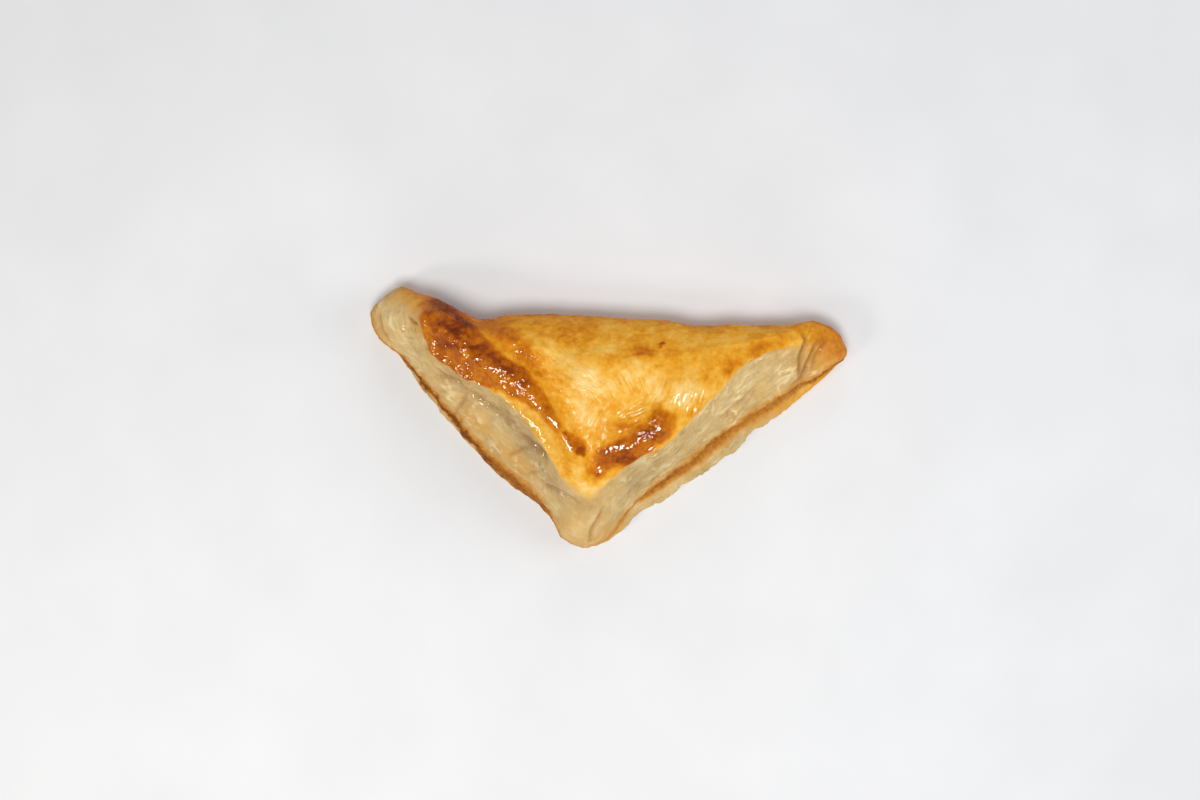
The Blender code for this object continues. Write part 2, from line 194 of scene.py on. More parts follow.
Layer = namedtuple("Layer", "start end at half proud")
LAYERS = rows_of(
    Layer,
    (2.4, 9.4, 0.30, 0.16, 1.3), (2.8, 7.2, 0.60, 0.06, -1.3), (4.6, 9, 0.80, 0.08, 0.5),
    (13, 21, 0.10, 0.10, 0.9), (14, 19, 0.45, 0.10, -0.7), (15, 21, 0.78, 0.10, 0.6),
)
LAYER_FADE = 0.5

Tab = namedtuple("Tab", "middle half reach")
TABS = rows_of(
    Tab,
    (14.9, 0.28, 1), (15.5, 0.16, -1.2), (17.3, 0.22, 1.1), (18, 0.20, -1.3), (5.6, 0.25, -0.8),
    (8.6, 0.22, -1),
)

# How bare of glaze the side is, as (section number, share on the wall, share on the lower sheet).
BARE_ROUND = (
    (0, 1, 1), (17.8, 1, 1), (19, 1, 0.6), (20, 1, 0.25), (20.6, 0.95, 0.1),
    (21.2, 0.6, 0), (22, 0.15, 0), (23, 0, 0), (34.5, 0, 0), (36.2, 0.2, 0.2),
    (37, 0.55, 0.6), (38, 0.95, 0.9), (39, 1, 1),
)
BARE_WOBBLE = 0.25
# How far inside its edge the glaze starts, in millimetres, as (section number, distance).
GLAZE_START = (
    (0, 6), (1, 2.5), (2, 0), (9, 0), (10, 1.5), (12.5, 1.5), (14, 0), (21, 0),
    (35, 0), (36.5, 3), (38, 6), (39, 6),
)
# How softly the glaze starts, in millimetres, as (section number, half the run).
GLAZE_FADE = (
    (0, 1.2), (1.5, 0.7), (8, 0.8), (9.5, 2.6), (11.5, 2.6), (13, 0.7), (35, 0.7), (37, 2),
    (39, 1.2),
)
# How clearly the thin layers show, as (section number, share).
LAYERS_SHOWN = (
    (0, 0.7), (2.5, 1), (8, 1), (9.5, 0.35), (12.5, 0.35), (14, 1), (20.5, 1), (22, 0.3),
    (36, 0.3), (39, 0.7),
)
# The browned seam, in plan: how far it reaches out over the lower sheet and in up the wall, in millimetres,
# and how dark it is, as (section number, out, in, darkness).
SEAM_ROUND = (
    (0, 0.5, 0.5, 0.25), (1.5, 1, 0.8, 0.4), (2.5, 1.3, 1.4, 1), (5, 1.5, 2, 1),
    (6.2, 3.6, 2.4, 0.80), (8.3, 3.6, 2.2, 0.80), (9.2, 1, 0.6, 0.5), (11, 0.8, 0.4, 0.25),
    (12.5, 1, 0.5, 0.4), (13.7, 1, 0.6, 0.65), (15, 2.2, 1.2, 0.8), (16.5, 3.6, 1.5, 0.66),
    (19, 3.6, 1.6, 0.62), (20.3, 1.6, 1, 0.8), (21.5, 1.2, 1, 0.8), (22.5, 0.6, 0.4, 0.3),
    (23, 0.3, 0.3, 0), (38, 0.3, 0.3, 0), (39, 0.5, 0.5, 0.25),
)
# Where the lower sheet's edge is ragged, as (section number, how far its fine teeth reach).
RAGGED = (
    (0, 0.15), (5, 0.25), (9, 0.2), (13.2, 0.3), (14.2, 0.9), (18.6, 0.9), (19.4, 0.3), (22, 0),
    (39, 0),
)

# Noise on the surface, as (size, seed).
BROAD_NOISE = (14.0, 5)
WAVY_NOISE = (7.0, 3)
FINE_NOISE = (2.4, 11)
SMALL_NOISE = (3.6, 13)

# How far each of the crust's fields of noise shifts the start of the glaze, the seam and the ridge's brown.
GLAZE_WOBBLE = {"wavy": 1.3, "fine": 0.5}
SEAM_WOBBLE = {"wavy": 0.9, "fine": 1.0}
RIDGE_WOBBLE = {"wavy": 1.6, "fine": 0.8}
# Over which share of the ledge the sheet gives way to the wall, and over which of the wall that fades in.
SHEET_TO_WALL = (0.85, 1.0)
WALL_START = 1 / 12
GLAZE_OVERLAP = 1.0

# How baked the glazed top is, with some painted light laid in. The ridge comes as (share along it, added
# brown, reach to the cut side, reach to the valley side); the rest comes as patches of more or less brown,
# some of them painted shade and some painted sheen.
BAKE_BASE = 0.40
RIDGE_BAKE = (
    (0, 0.22, 26, 9), (0.1, 0.26, 26, 10), (0.22, 0.24, 20, 8.5), (0.29, 0.26, 8, 8),
    (0.36, 0.27, 5.5, 7.5), (0.45, 0.27, 4.2, 5), (0.55, 0.25, 3.6, 3.6), (0.65, 0.18, 3, 2.6),
    (0.75, 0.04, 3, 2), (1, 0, 3, 3),
)
RIDGE_FADE = 1.3
# Past this distance from the ridge's end at ear A its brown fades away.
RIDGE_END = 9.0
RIDGE_END_FADE = 3.0
BLISTERS = rows_of(
    Swell,
    # The big blister by the right cut edge: its body, the wrinkled middle and the head.
    (5.6, -14.4, 11, 6.4, 17, 0.34), (17, -8, 9.5, 5.6, 22, 0.31),
    (22.4, -1.4, 5.6, 8, 0, 0.25),
    # The small one beside the ridge.
    (-12.8, -11.8, 3.6, 4, 0, 0.24), (-15.4, -8.8, 3.6, 1.6, -50, 0.22),
    (-11.6, -14.2, 2.2, 2.2, 0, 0.34), (22.2, 31.5, 2, 1.5, 10, 0.38),
)
# Where the ridge is spotted with the darkest brown, and how dark at most.
DARK_SPOTS = rows_of(
    Swell,
    (-68.5, 38.5, 9, 7.5, -35, 0.30), (-54.5, 29.5, 9, 4.5, -38, 0.19),
    (-42.5, 20.5, 9, 3, -38, 0.15),
)
DARK_SPOT_NOISE = (3.4, 101)
DARK_SPOT_STEP = (-0.8, 0.6)
BAKE_AND_LIGHT_PATCHES = rows_of(
    Swell,
    # A deeper orange round the big blister, and small brown clouds on the top.
    (4.8, -2.4, 11, 4, 8, 0.11), (11.5, -3, 8, 5, 10, 0.10), (13.2, 28.8, 9, 2.6, -3, 0.19),
    (20.5, 21.5, 3.5, 1.6, 10, 0.14), (14, 6, 6, 6, 0, 0.05),
    (-10, 38, 14, 4, 10, 0.06), (-18, 34, 5, 3, 0, 0.07),
    # Duller and browner along the fold, most on its left half, and down the valley: partly real browning,
    # partly painted shade where the top turns away from the light.
    (-45, 43, 28, 6.5, -2, 0.13), (-42, 33, 14, 5, -38, 0.17),
    (45, 42, 34, 4, -2, 0.04), (-28, 15, 16, 3.5, -52, 0.11),
    (-33, 24.5, 8, 4.5, -42, 0.13), (-5, -23, 4.8, 5, 0, 0.29),
    (5, 24.5, 7, 3.5, 0, 0.09), (8.3, -18, 6, 2.2, 20, 0.13),
    # Brown where the ridge meets the fold at ear A, and on ear B.
    (-72, 51, 11, 5, -22, 0.22), (-90, 55, 9, 4, 0, 0.12),
    (96, 33, 10, 9, 0, 0.11),
    # Paler and yellow: partly the glaze's own lighter colour, partly a painted sheen where the top faces the
    # key light. These patches also shine.
    (-27, 31.5, 10, 4, -40, -0.10), (-10.5, 16.5, 8, 6, -30, -0.22),
    (-13, 6.9, 4.5, 2.6, -20, -0.18), (-8, -0.8, 3.2, 5, 30, -0.17),
    (20, 13.8, 3.4, 7.5, 0, -0.16), (32, 11.5, 6.5, 5, 20, -0.26),
    (10.2, 17.8, 3, 3.6, 0, -0.12), (0.5, 30.5, 6.5, 2, 8, -0.12),
    (-12.4, -26, 3, 8, 8, -0.22), (-4, -31, 6, 3.4, 30, -0.14),
    (-40, 6.5, 9, 2.2, -38, -0.10),
    # A deeper fringe along the right cut edge.
    (36.8, 4, 2.6, 4.4, 0, 0.12), (42, 16.6, 2.6, 2.4, 0, 0.10), (51.6, 21.2, 6, 2.4, 40, 0.16),
    (69, 31.8, 11, 3.2, 22, 0.13),
)
# Noise that bends the rims of the patches, for x and for y, as (amount, size, seed).
PATCH_WANDER = (((1.6, 5.0, 91), (0.9, 2.0, 93)), ((1.6, 5.0, 95), (0.9, 2.0, 97)))
BAKE_NOISE = {"broad": 0.09, "wavy": 0.09, "fine": 0.07}
BLISTER_WOBBLE = {"wavy": 1.2, "fine": 0.6}
# The rim of a flat patch, as shares of its reach, and how much a wobble of 1 moves it.
FLAT_RIM = (1.3, 0.6)
FLAT_WOBBLE = 0.2
# The rounded sides are darker, from the first of these heights down to the second: painted shade on their
# lower parts, which turn down and away from the light.
ROUND_SHADE = 0.13
ROUND_SHADE_HEIGHTS = (27.0, 10.0)
# Glaze that is browner than this is blistered.
BLISTER_FROM = 0.53
BLISTER_RISE = 6.5

# Where the glaze shines, and how much of it is coat, as amounts of the crust's fields.
SHEEN = {"level": 0.45, "light_glaze": 0.55, "blister": 0.5, "broad": 0.5}
COAT = {"shiny_blister": 0.55, "sheen": 1.0}
LIGHT_GLAZE_GAIN = 3.2
ROUND_DULLS = 0.85
SHEET_SHINE = 0.5
# The shine ends between these places along y, on the fold, and between these upward parts of the normal.
SHINE_ENDS_Y = (49.0, 41.0)
SHINE_FACING_UP = (0.55, 0.85)
COAT_FACING_UP = (0.66, 0.88)

# Fine wrinkles that run one way: a patch of them, whose turn is also their own, and how far apart they are.
Wrinkles = namedtuple("Wrinkles", "x y reach turn apart depth")
WRINKLES = rows_of(
    Wrinkles,
    (-10.5, 16, 9, -28, 1.5, 0.672), (-8.5, 0, 7, 58, 1.3, 0.576),
    (9, 19, 7, -62, 1.4, 0.544), (20, 13, 7, 70, 1.4, 0.576),
    (33, 10.5, 8, 75, 1.5, 0.672), (-27, 30, 9, -42, 1.6, 0.448),
    (9, 2.6, 5.5, 25, 1.3, 0.576), (-18, 22, 8, -40, 1.5, 0.48),
    (0, 10, 7, -70, 1.5, 0.384), (44, 14, 7, 60, 1.5, 0.384),
    (-90, 42, 12, -72, 1.5, 0.672), (62, 15, 12, 52, 2, 0.32),
    (88, 31, 9, 62, 2.2, 0.896),
)
# Their length for the distance between them, how far the wavy noise bends them, and their seed.
WRINKLE_LENGTH = 5.0
WRINKLE_BEND = 0.8
WRINKLE_SEED = 61
# How much paler their crests are than their troughs: painted light and shade on the wrinkles.
WRINKLE_LIGHT_AND_SHADE = 0.16
# The skin of the big blister is drawn together at one place, and its wrinkles run out from there.
GATHER = (24.6, -7.6)
GATHER_REACH = 13.0
GATHER_SPREAD = 0.8
GATHER_FOLDS = 26.0
GATHER_DEPTH = 0.45
# Within this distance the folds are shallower, down to this share of their depth.
GATHER_HUB = 5.0
GATHER_HUB_DEPTH = 0.25
# How much noise bends the folds, how often round the fan, and its size and seed.
GATHER_BEND = 1.6
GATHER_BENDS = 7.0
GATHER_NOISE = ((4.0, 1.0, 1.0), 71)


# Creases of the dough: where the walls fold, and round the two ears. Their brown is partly real browning of
# the folds and partly painted shade in the grooves.
Crease = namedtuple("Crease", "depth half brown line")
CREASES = rows_of(
    Crease,
    (
        1.7, 0.8, 0.50,
        ((-60, 11.6), (-57.5, 9.9), (-52.1, 5.6), (-46.7, 2.6), (-41.3, -2), (-38.6, -4.4)),
    ),
    (1.4, 0.7, 0.40, ((-49.5, 2.8), (-45.5, 0.2), (-41.6, -3))),
    (1, 0.6, 0.35, ((-47, 4.6), (-43.5, 2.6), (-38.8, -0.4))),
    (1.9, 1.2, 0.60, ((-39.8, -6.8), (-36, -9), (-32.4, -11.7), (-28.4, -15), (-26.3, -18.6))),
    (1.2, 0.7, 0.45, ((-74, 21.5), (-71.3, 18.9), (-64.8, 15.6), (-61.6, 12))),
    (1.3, 0.8, 0.35, ((-29.5, -27), (-27.5, -29), (-20.5, -31.6), (-16.7, -34.2), (-12.3, -37.6))),
    (1.1, 0.7, 0.35, ((-68, 1), (-66, 4.5), (-63, 8), (-61, 12))),
    (1, 0.7, 0.30, ((-44, -16.5), (-40, -14.5), (-36.5, -12.5), (-33.5, -13.5))),
    (1, 0.7, 0.30, ((-36, -24.5), (-31, -23.5), (-27, -21))),
    (0.9, 0.6, 0.25, ((20, -27.5), (26, -22), (34, -18.5), (41, -13))),
    (0.9, 0.6, 0.25, ((46, -4), (53, 4.5), (60, 9.5), (69, 19))),
    (0.8, 0.6, 0.20, ((8, -34), (14, -28.5), (19, -24))),
    (1.3, 0.8, 0.50, ((-2, -39), (-4.5, -44.5), (-7.4, -50), (-8.8, -56.5))),
    (1.7, 0.9, 0.65, ((84, 17), (83.4, 22), (83.6, 27), (85.4, 34.2), (83.5, 38.2))),
    (
        1.8, 1, 0.65,
        ((79, 12), (85.1, 17.3), (86.6, 23.5), (88.4, 28.2), (89.6, 32.1), (92.8, 35.6)),
    ),
    (1.4, 0.9, 0.50, ((89.2, 22), (90.2, 26.5), (92.2, 30.5), (96.5, 35.2))),
    (1.1, 0.8, 0.45, ((-101.1, 47.5), (-100.2, 39.8), (-96.7, 34.1))),
    (1, 0.5, 0.60, ((-86.4, 44.8), (-84.3, 41.8), (-82.6, 40.8))),
    (0.7, 0.6, 0.10, ((7, 34), (11, 36.6), (20, 36.6))),
    (0.5, 0.6, 0.15, ((5, 26.5), (13.5, 28.2), (20, 27.5))),
)
# Creases fade in between these heights, and towards their two ends, where this share of them is left.
CREASE_HEIGHTS = (4.0, 8.0)
CREASE_FADE = 0.25
CREASE_END = 0.25
# How wide the painted shade and browning of a crease is for its own width.
CREASE_SHADE_WIDTH = 1.1

# More golden patches of the bare dough.
TOAST_PATCHES = rows_of(
    Swell,
    (-62, 2, 12, 4.5, -47, 0.32), (-49, -10.6, 10, 3.4, -45, 0.24),
    (-77.5, 24, 7, 4, -40, 0.30), (-8, -48, 6, 6, 0, 0.30),
    (-17, -50, 4, 8, 20, 0.30), (0, -50, 9, 3, 40, 0.45),
    (94, 26, 12, 7, 42, 0.75), (80, 7, 17, 4, 38, 0.80),
    (-104.5, 42, 2.6, 14, 5, 0.70), (-88, 54, 14, 4, 10, 0.60),
    (-95, 39, 9, 9, -50, 0.20), (68, 18, 12, 5, 40, 0.12),
    (-38.7, -20.8, 9, 4.5, -42, 0.6), (-56, -2, 9, 5, -45, 0.32),
    (-97, 33, 10, 3.5, -50, 0.35), (88, 27, 7, 9, 0, 0.35),
)
# Thin sheets that shine a little.
SHINY_SHEETS = rows_of(
    Swell,
    (-52, 6, 14, 4.5, -40, 1), (-34, -13, 8, 6, -45, 1),
    (-22, -28, 6, 9, 20, 0.8), (-92, 42, 9, 11, 0, 0.5),
    (66, 19, 13, 5, 38, 0.5),
)
# Paler patches of the bare dough.
PALE_PATCHES = rows_of(
    Swell,
    (-95, 43, 8, 11, 0, 0.38), (-88, 30, 6, 6, -45, 0.30),
    (-12, -49, 7, 4, 20, 0.35), (60, 16, 14, 4.5, 38, 0.25),
)
# Greyer patches on the walls: painted shade in pockets and recesses, partly the filling's tint through the
# thin sheets.
SHADE_GREY_PATCHES = rows_of(
    Swell,
    (-65.5, 17.1, 10, 3.6, -38, 0.42), (-44.5, 2.4, 13, 4.8, -38, 0.38),
    (-33.4, -11.6, 9, 4, -42, 0.85), (-24, -27, 5, 9, 20, 0.45),
    (-14, -36, 7, 4, -30, 0.30), (18, -24, 16, 5, 32, 0.20),
    (10, -29, 8, 5, 32, 0.25),
)
# How golden the bare dough has baked, as amounts of the crust's fields: most on what sticks out, least in
# the middle of the walls.
TOAST = {
    "level": 0.12, "low": 0.2, "near_lip": 0.22, "near_glaze": 0.12, "rounded": 0.10, "broad": 0.22,
    "wavy": 0.22,
}
TOAST_HEIGHTS = (5.0, 0.5)
TOAST_LIP_RUN = 2.5
TOAST_GLAZE_RUN = 4.0
# How much the wavy noise varies the greyer and paler patches, and where the streak crests get a painted
# highlight.
SHADE_GREY_VARIES = 0.6
PALE_VARIES = 0.8
STREAK_HIGHLIGHT = (0.45, 1.0)
STREAK_HIGHLIGHT_WAVY = (-0.3, 0.6)
# The thin layers: how many lie up a wall, the noise that bends them, and where their gaps show, pressed in
# and darkened with painted shade.
LAYERS_HIGH = 7.0
LAYER_BEND = ((1.3, (14.0, 14.0, 6.0), 21), (0.5, 4.0, 23))
LAYER_CREST = (0.75, 1.0)
LAYER_STRONG = (0.0, 0.8)
LAYER_STRONG_NOISE = ((9.0, 9.0, 4.0), 31)
# Streaks along the layers, as (how far the wavy noise bends them, size, seed).
STREAKS = (1.5, (6.0, 6.0, 1.3), 51)
THIN_STREAKS = (0.8, (3.6, 3.6, 0.7), 53)
STREAK_SHARPNESS = 1.8

# The fine relief, in millimetres for each of the crust's fields: everywhere, and then on each kind of place.
PLAIN_RELIEF = {"wavy": 0.40, "fine": 0.16, "small": 0.14}
BLISTER_RELIEF = {"pebbles": 0.58, "small_pebbles": 0.36, "level": -0.36}
WALL_RELIEF = {"wavy": 0.45, "fine": 0.12, "layer": -0.38}
STREAK_RELIEF = {"streaks": 0.19, "thin_streaks": 0.12}
SHEET_RELIEF = {"wavy": 0.3, "fine": 0.2, "thin_streaks": 0.2}
SEAM_RELIEF = {"small_pebbles": 0.7, "wavy": 0.4, "level": -0.3}
# Pebbles, as (size, seed): how far noise bends them, and where they lie in clumps.
PEBBLES = (2.3, 41)
SMALL_PEBBLES = (1.25, 43)
PEBBLE_BEND = 1.1
PEBBLE_ROLL = 7
PEBBLE_CLUMPS = (3.0, 45)
PEBBLE_CLUMP_FADE = 0.5
# Teeth of the lower sheet's edge, as (size, seed), up to a share of the ledge.
TEETH = (3.3, 81)
SMALL_TEETH = (1.3, 83)
SMALL_TEETH_SHARE = 0.45
TEETH_SINK = 0.2
TEETH_UP_TO = 0.2
TEETH_STRETCH = (1.0, 1.0, 0.9)
TEETH_CLUMPS = (9.0, 85)
TEETH_CLUMPED = (0.4, 0.6)
# Over the first share of the edge the relief fades in, so that the foot stays flat.
HELD_EDGE = 2 / 3

# What the mesh carries for the material, point by point.
SHARES = ("bake", "bare", "seam", "layer", "leaves", "coat", "toast", "grey_and_shade", "line", "pale_and_highlight", "sheen")

# Noise of the material, as (size, detail, roughness, height for its width).
NOISES = {
    "speckle": (1.6, 3.0, 0.5, 1.0),
    "cloudy": (7.0, 4.0, 0.5, 1.0),
    "mottled": (3.4, 3.0, 0.6, 1.0),
    "strata": (9.0, 2.0, 0.5, 0.07),
    "warm": (10.0, 3.0, 0.6, 1.0),
    "grain": (1.4, 0.5, 0.5, 1.0),
    "bumps": (2.4, 1.0, 0.5, 1.0),
}
FLOOR_NOISE = (60.0, 3.0, 0.5, 1.0)
# Colours from the least to the most baked, and from the darkest to the lightest dough.
GLAZE_COLOURS = (
    (0.10, (0.90, 0.64, 0.25)),
    (0.30, (0.85, 0.48, 0.08)),
    (0.44, (0.78, 0.345, 0.02)),
    (0.58, (0.63, 0.205, 0.006)),
    (0.70, (0.47, 0.115, 0.004)),
    (0.84, (0.25, 0.044, 0.004)),
    (1, (0.10, 0.018, 0.004)),
)
DOUGH_COLOURS = (
    (0.22, (0.42, 0.27, 0.10)),
    (0.40, (0.52, 0.37, 0.16)),
    (0.56, (0.60, 0.445, 0.21)),
    (0.78, (0.74, 0.60, 0.34)),
)
OCHRE = (0.70, 0.46, 0.155)
OCHRE_SHARE = ((0.48, (0.0, 0.0, 0.0)), (0.66, (0.6, 0.6, 0.6)))
# Tints over the dough: toast is its golden colour, pale is partly its paler tone and partly a painted
# highlight on streaks, the greyer tint is painted shade with some of the filling's tint, and layer is painted
# shade in the gaps between the thin layers.
DOUGH_TINTS = {
    "toast": (0.62, 0.32, 0.075),
    "pale_and_highlight": (0.86, 0.68, 0.36),
    "grey_and_shade": (0.36, 0.25, 0.13),
    "layer": (0.46, 0.27, 0.10),
}
CREASE_SHADE_COLOUR = (0.30, 0.12, 0.025)
SEAM_COLOURS = ((0.35, (0.58, 0.27, 0.045)), (0.65, (0.44, 0.165, 0.018)), (0.95, (0.20, 0.058, 0.008)))
SEAM_GAIN = 2.8
FLOOR_COLOURS = ((0.3, (0.76, 0.77, 0.79)), (0.7, (0.80, 0.81, 0.83)))
# How much the noise changes each of them.
GLAZE_MOTTLE = {"speckle": 0.22, "cloudy": 0.18, "mottled": 0.26}
DOUGH_SPECKLE = 0.3
DOUGH_STRATA = 0.6
SEAM_SPECKLE = 0.7
ROUGHNESS_SPECKLE = 0.25
# Roughness, and the height of the grain, from where nothing shines to where the glaze shines most.
ROUGHNESS = (0.62, 0.27)
GRAIN_HEIGHT = (0.25, 0.9)
BUMPS_HEIGHT = 0.7
LEAVES_HEIGHT = 1.2
BUMP_DISTANCE = 0.5
BUMP_STRENGTH = 0.8
# The places of the colour sockets on a mix node.
MIX_COLOUR_INPUTS = (0, 6, 7)
MIX_COLOUR_OUTPUT = 2

# The floor: half its side in metres, and how far it lies under the turnover.
FLOOR_HALF = 1.5
FLOOR_DROP = 0.2

# The lights, as (name, place in metres, size, power in watts, colour, seen in gloss or not). The key and the
# small warm glint make the highlights, and the soft ones low on each side only fill the shade.
WHITE = (1.0, 1.0, 1.0)
LIGHTS = (
    ("key", (-0.05, -0.28, 1.0), 0.36, 5.9, WHITE, True),
    ("glint", (-0.62, -0.40, 0.62), 0.18, 1.6, (1.0, 0.91, 0.78), True),
    ("right", (1.1, 0.1, 0.55), 0.9, 5.0, WHITE, False),
    ("left", (-1.1, -0.1, 0.5), 0.9, 0.2, WHITE, False),
    ("back", (0.0, 1.2, 0.5), 0.9, 3.4, WHITE, False),
    ("front", (0.0, -1.2, 0.5), 0.9, 2.2, WHITE, False),
)
WORLD_STRENGTH = 0.24


# The camera, over the middle of the photograph, in millimetres.
CAMERA_HEIGHT = 745.0
CAMERA_X = -3.7
CAMERA_Y = 7.7
LENS = 50.0
SENSOR = 36.0


def smooth_between(first, leaving, second, arriving, t):
    """A smooth curve from first to second with the given slopes at its ends, read at the share t."""
    return (
        first * (2 * t**3 - 3 * t**2 + 1)
        + leaving * (t**3 - 2 * t**2 + t)
        + second * (3 * t**2 - 2 * t**3)
        + arriving * (t**3 - t**2)
    )


def closed_spline(keys, values, at):
    """Reads a smooth closed curve through values, one at each key, at the given places."""
    count = len(values)
    gaps = np.diff(keys)[:, None]
    rise = (np.roll(values, -1, axis=0) - values) / gaps
    before = np.roll(gaps, 1, axis=0)
    slopes = (rise * before + np.roll(rise, 1, axis=0) * gaps) / (gaps + before)
    start = np.clip(np.searchsorted(keys, at, side="right") - 1, 0, count - 1)
    gap = gaps[start]
    t = ((at - keys[start]) / gap[:, 0])[:, None]
    after = (start + 1) % count
    return smooth_between(values[start], slopes[start] * gap, values[after], slopes[after] * gap, t)


def columns_round_outline(a_side):
    """The section values at each column, and each column's place as a section number."""
    table = np.array(SECTIONS)
    steps = np.roll(table[:, :4], -1, axis=0) - table[:, :4]
    rim_steps, edge_steps = np.hypot(steps[:, 0], steps[:, 1]), np.hypot(steps[:, 2], steps[:, 3])
    steps = RIM_SHARE * rim_steps + (1 - RIM_SHARE) * edge_steps
    keys = np.concatenate([[0.0], np.cumsum(steps)])
    split = keys[TIP_B]
    places = np.concatenate(
        [
            np.linspace(0.0, split, a_side, endpoint=False),
            np.linspace(split, keys[-1], a_side, endpoint=False),
        ]
    )
    values = closed_spline(keys, table, places)
    numbers = np.interp(places, keys, np.arange(len(keys)))
    columns = Section(*values.T)
    return columns._replace(round=np.clip(columns.round, 0, 1), seam=np.clip(columns.seam, 0, None)), numbers


def torn_edge(numbers):
    reach = np.zeros_like(numbers)
    for tab in TABS:
        reach += tab.reach * np.exp(-(((numbers - tab.middle) / tab.half) ** 2))
    return reach


def proud_layers(numbers, share):
    out = np.zeros_like(numbers)
    for layer in LAYERS:
        along = np.clip(np.minimum(numbers - layer.start, layer.end - numbers) / LAYER_FADE, 0, 1)
        out += layer.proud * along * np.exp(-(((share - layer.at) / layer.half) ** 2))
    return out


def side_rows(columns, numbers, edge_rows, wall_rows):
    """The rows from the foot up to the edge of the glazed top, each an array of points."""
    rim = np.column_stack([columns.x, columns.y])
    inward = np.column_stack([columns.gx, columns.gy]) - rim
    run = np.linalg.norm(inward, axis=1)
    inward /= run[:, None]
    rounded = columns.round
    cut = 1 - rounded
    rows = []

    def add(inset, height):
        rows.append(np.column_stack([rim + inward * inset[:, None], height]))

    foot = FOOT_INSET_CUT * cut + FOOT_INSET_ROUND * rounded
    for step in range(edge_rows + 1):
        t = step / edge_rows
        angle = t * np.pi / 2
        arc_inset = foot * (1 - np.sin(angle))
        arc_height = columns.rim * (1 - np.cos(angle))
        torn = torn_edge(numbers) * t
        add(cut * foot * (1 - t) + rounded * arc_inset - torn, cut * columns.rim * t + rounded * arc_height)

    def round_side(share):
        angle = share * ROUND_END_ANGLE
        inset = run * (1 - np.cos(angle)) / (1 - np.cos(ROUND_END_ANGLE))
        height = columns.rim + (columns.top - columns.rim) * np.sin(angle) / np.sin(ROUND_END_ANGLE)
        return inset, height

    ledge_points = (
        (SHEET_SLOPE_RUN * columns.ledge, SHEET_TOP),
        (columns.ledge + columns.seam, SEAM_HEIGHT),
        (columns.ledge, LIP_HEIGHT),
    )
    for share, (inset, height) in zip(LEDGE_SHARES, ledge_points):
        arc_inset, arc_height = round_side(share * LIP_SHARE)
        add(cut * inset + rounded * arc_inset, cut * height + rounded * arc_height)
    for step in range(1, wall_rows + 1):
        t = step / wall_rows
        arc_inset, arc_height = round_side(LIP_SHARE + (1 - LIP_SHARE) * t)
        proud = proud_layers(numbers, t) * cut
        inset = columns.ledge + (run - columns.ledge) * t - proud
        height = LIP_HEIGHT + (columns.top - LIP_HEIGHT) * t
        add(cut * inset + rounded * arc_inset, cut * height + rounded * arc_height)
    return rows


def line_distance(x, y, line):
    """Distance to a line of points, with a share along it, and which side: positive on its left."""
    best = np.full(x.shape, np.inf)
    along = np.zeros_like(best)
    side = np.zeros_like(best)
    points = np.array(line)
    for number, (start, end) in enumerate(zip(points[:-1], points[1:])):
        step = end - start
        share = ((x - start[0]) * step[0] + (y - start[1]) * step[1]) / (step @ step)
        held = np.clip(share, 0, 1)
        gap = np.hypot(x - start[0] - held * step[0], y - start[1] - held * step[1])
        cross = step[0] * (y - start[1]) - step[1] * (x - start[0])
        nearer = gap < best
        best = np.where(nearer, gap, best)
        along = np.where(nearer, (number + held) / (len(points) - 1), along)
        side = np.where(nearer, np.sign(cross), side)
    return best, along, side


def turned(x, y, patch):
    """Places along and across a patch, from its middle."""
    turn = np.radians(patch.turn)
    along = (x - patch.x) * np.cos(turn) + (y - patch.y) * np.sin(turn)
    across = (y - patch.y) * np.cos(turn) - (x - patch.x) * np.sin(turn)
    return along, across


def patches(x, y, swells):
    """The sum of soft oval patches."""
    amount = np.zeros_like(x)
    for swell in swells:
        along, across = turned(x, y, swell)
        amount += swell.height * np.exp(-((along / swell.long) ** 2) - (across / swell.wide) ** 2)
    return amount


def flat_patches(x, y, swells, wobble):
    """The highest of oval patches with flat middles and uneven rims."""
    amount = np.zeros_like(x)
    for swell in swells:
        along, across = turned(x, y, swell)
        reach = np.hypot(along / swell.long, across / swell.wide) + FLAT_WOBBLE * wobble
        amount = np.maximum(amount, swell.height * step_between(*FLAT_RIM, reach))
    return amount


def top_relief(x, y):
    """Height that the ridge, the valley and the swells add to the plain rise of the top."""
    gap, along, side = line_distance(x, y, RIDGE_LINE)
    place, high, half = np.array(RIDGE_SHAPE).T
    high = np.interp(along, place, high)
    half = np.interp(along, place, half)
    height = high * np.exp(-np.abs(gap / half) ** RIDGE_STEEPNESS)
    height += RIDGE_CREST * along * np.exp(-((gap / RIDGE_CREST_WIDTH) ** 2))
    past = gap * side - VALLEY_SHIFT * half
    height -= VALLEY_DEPTH * np.exp(-((past / VALLEY_WIDTH) ** 2)) * np.sin(np.pi * along)
    height += patches(x, y, SWELLS)
    first, second = (x / run_x + y / run_y for run_x, run_y in RIPPLE_RUNS)
    height += RIPPLE_HEIGHT * np.sin(first) * np.sin(second)
    return height


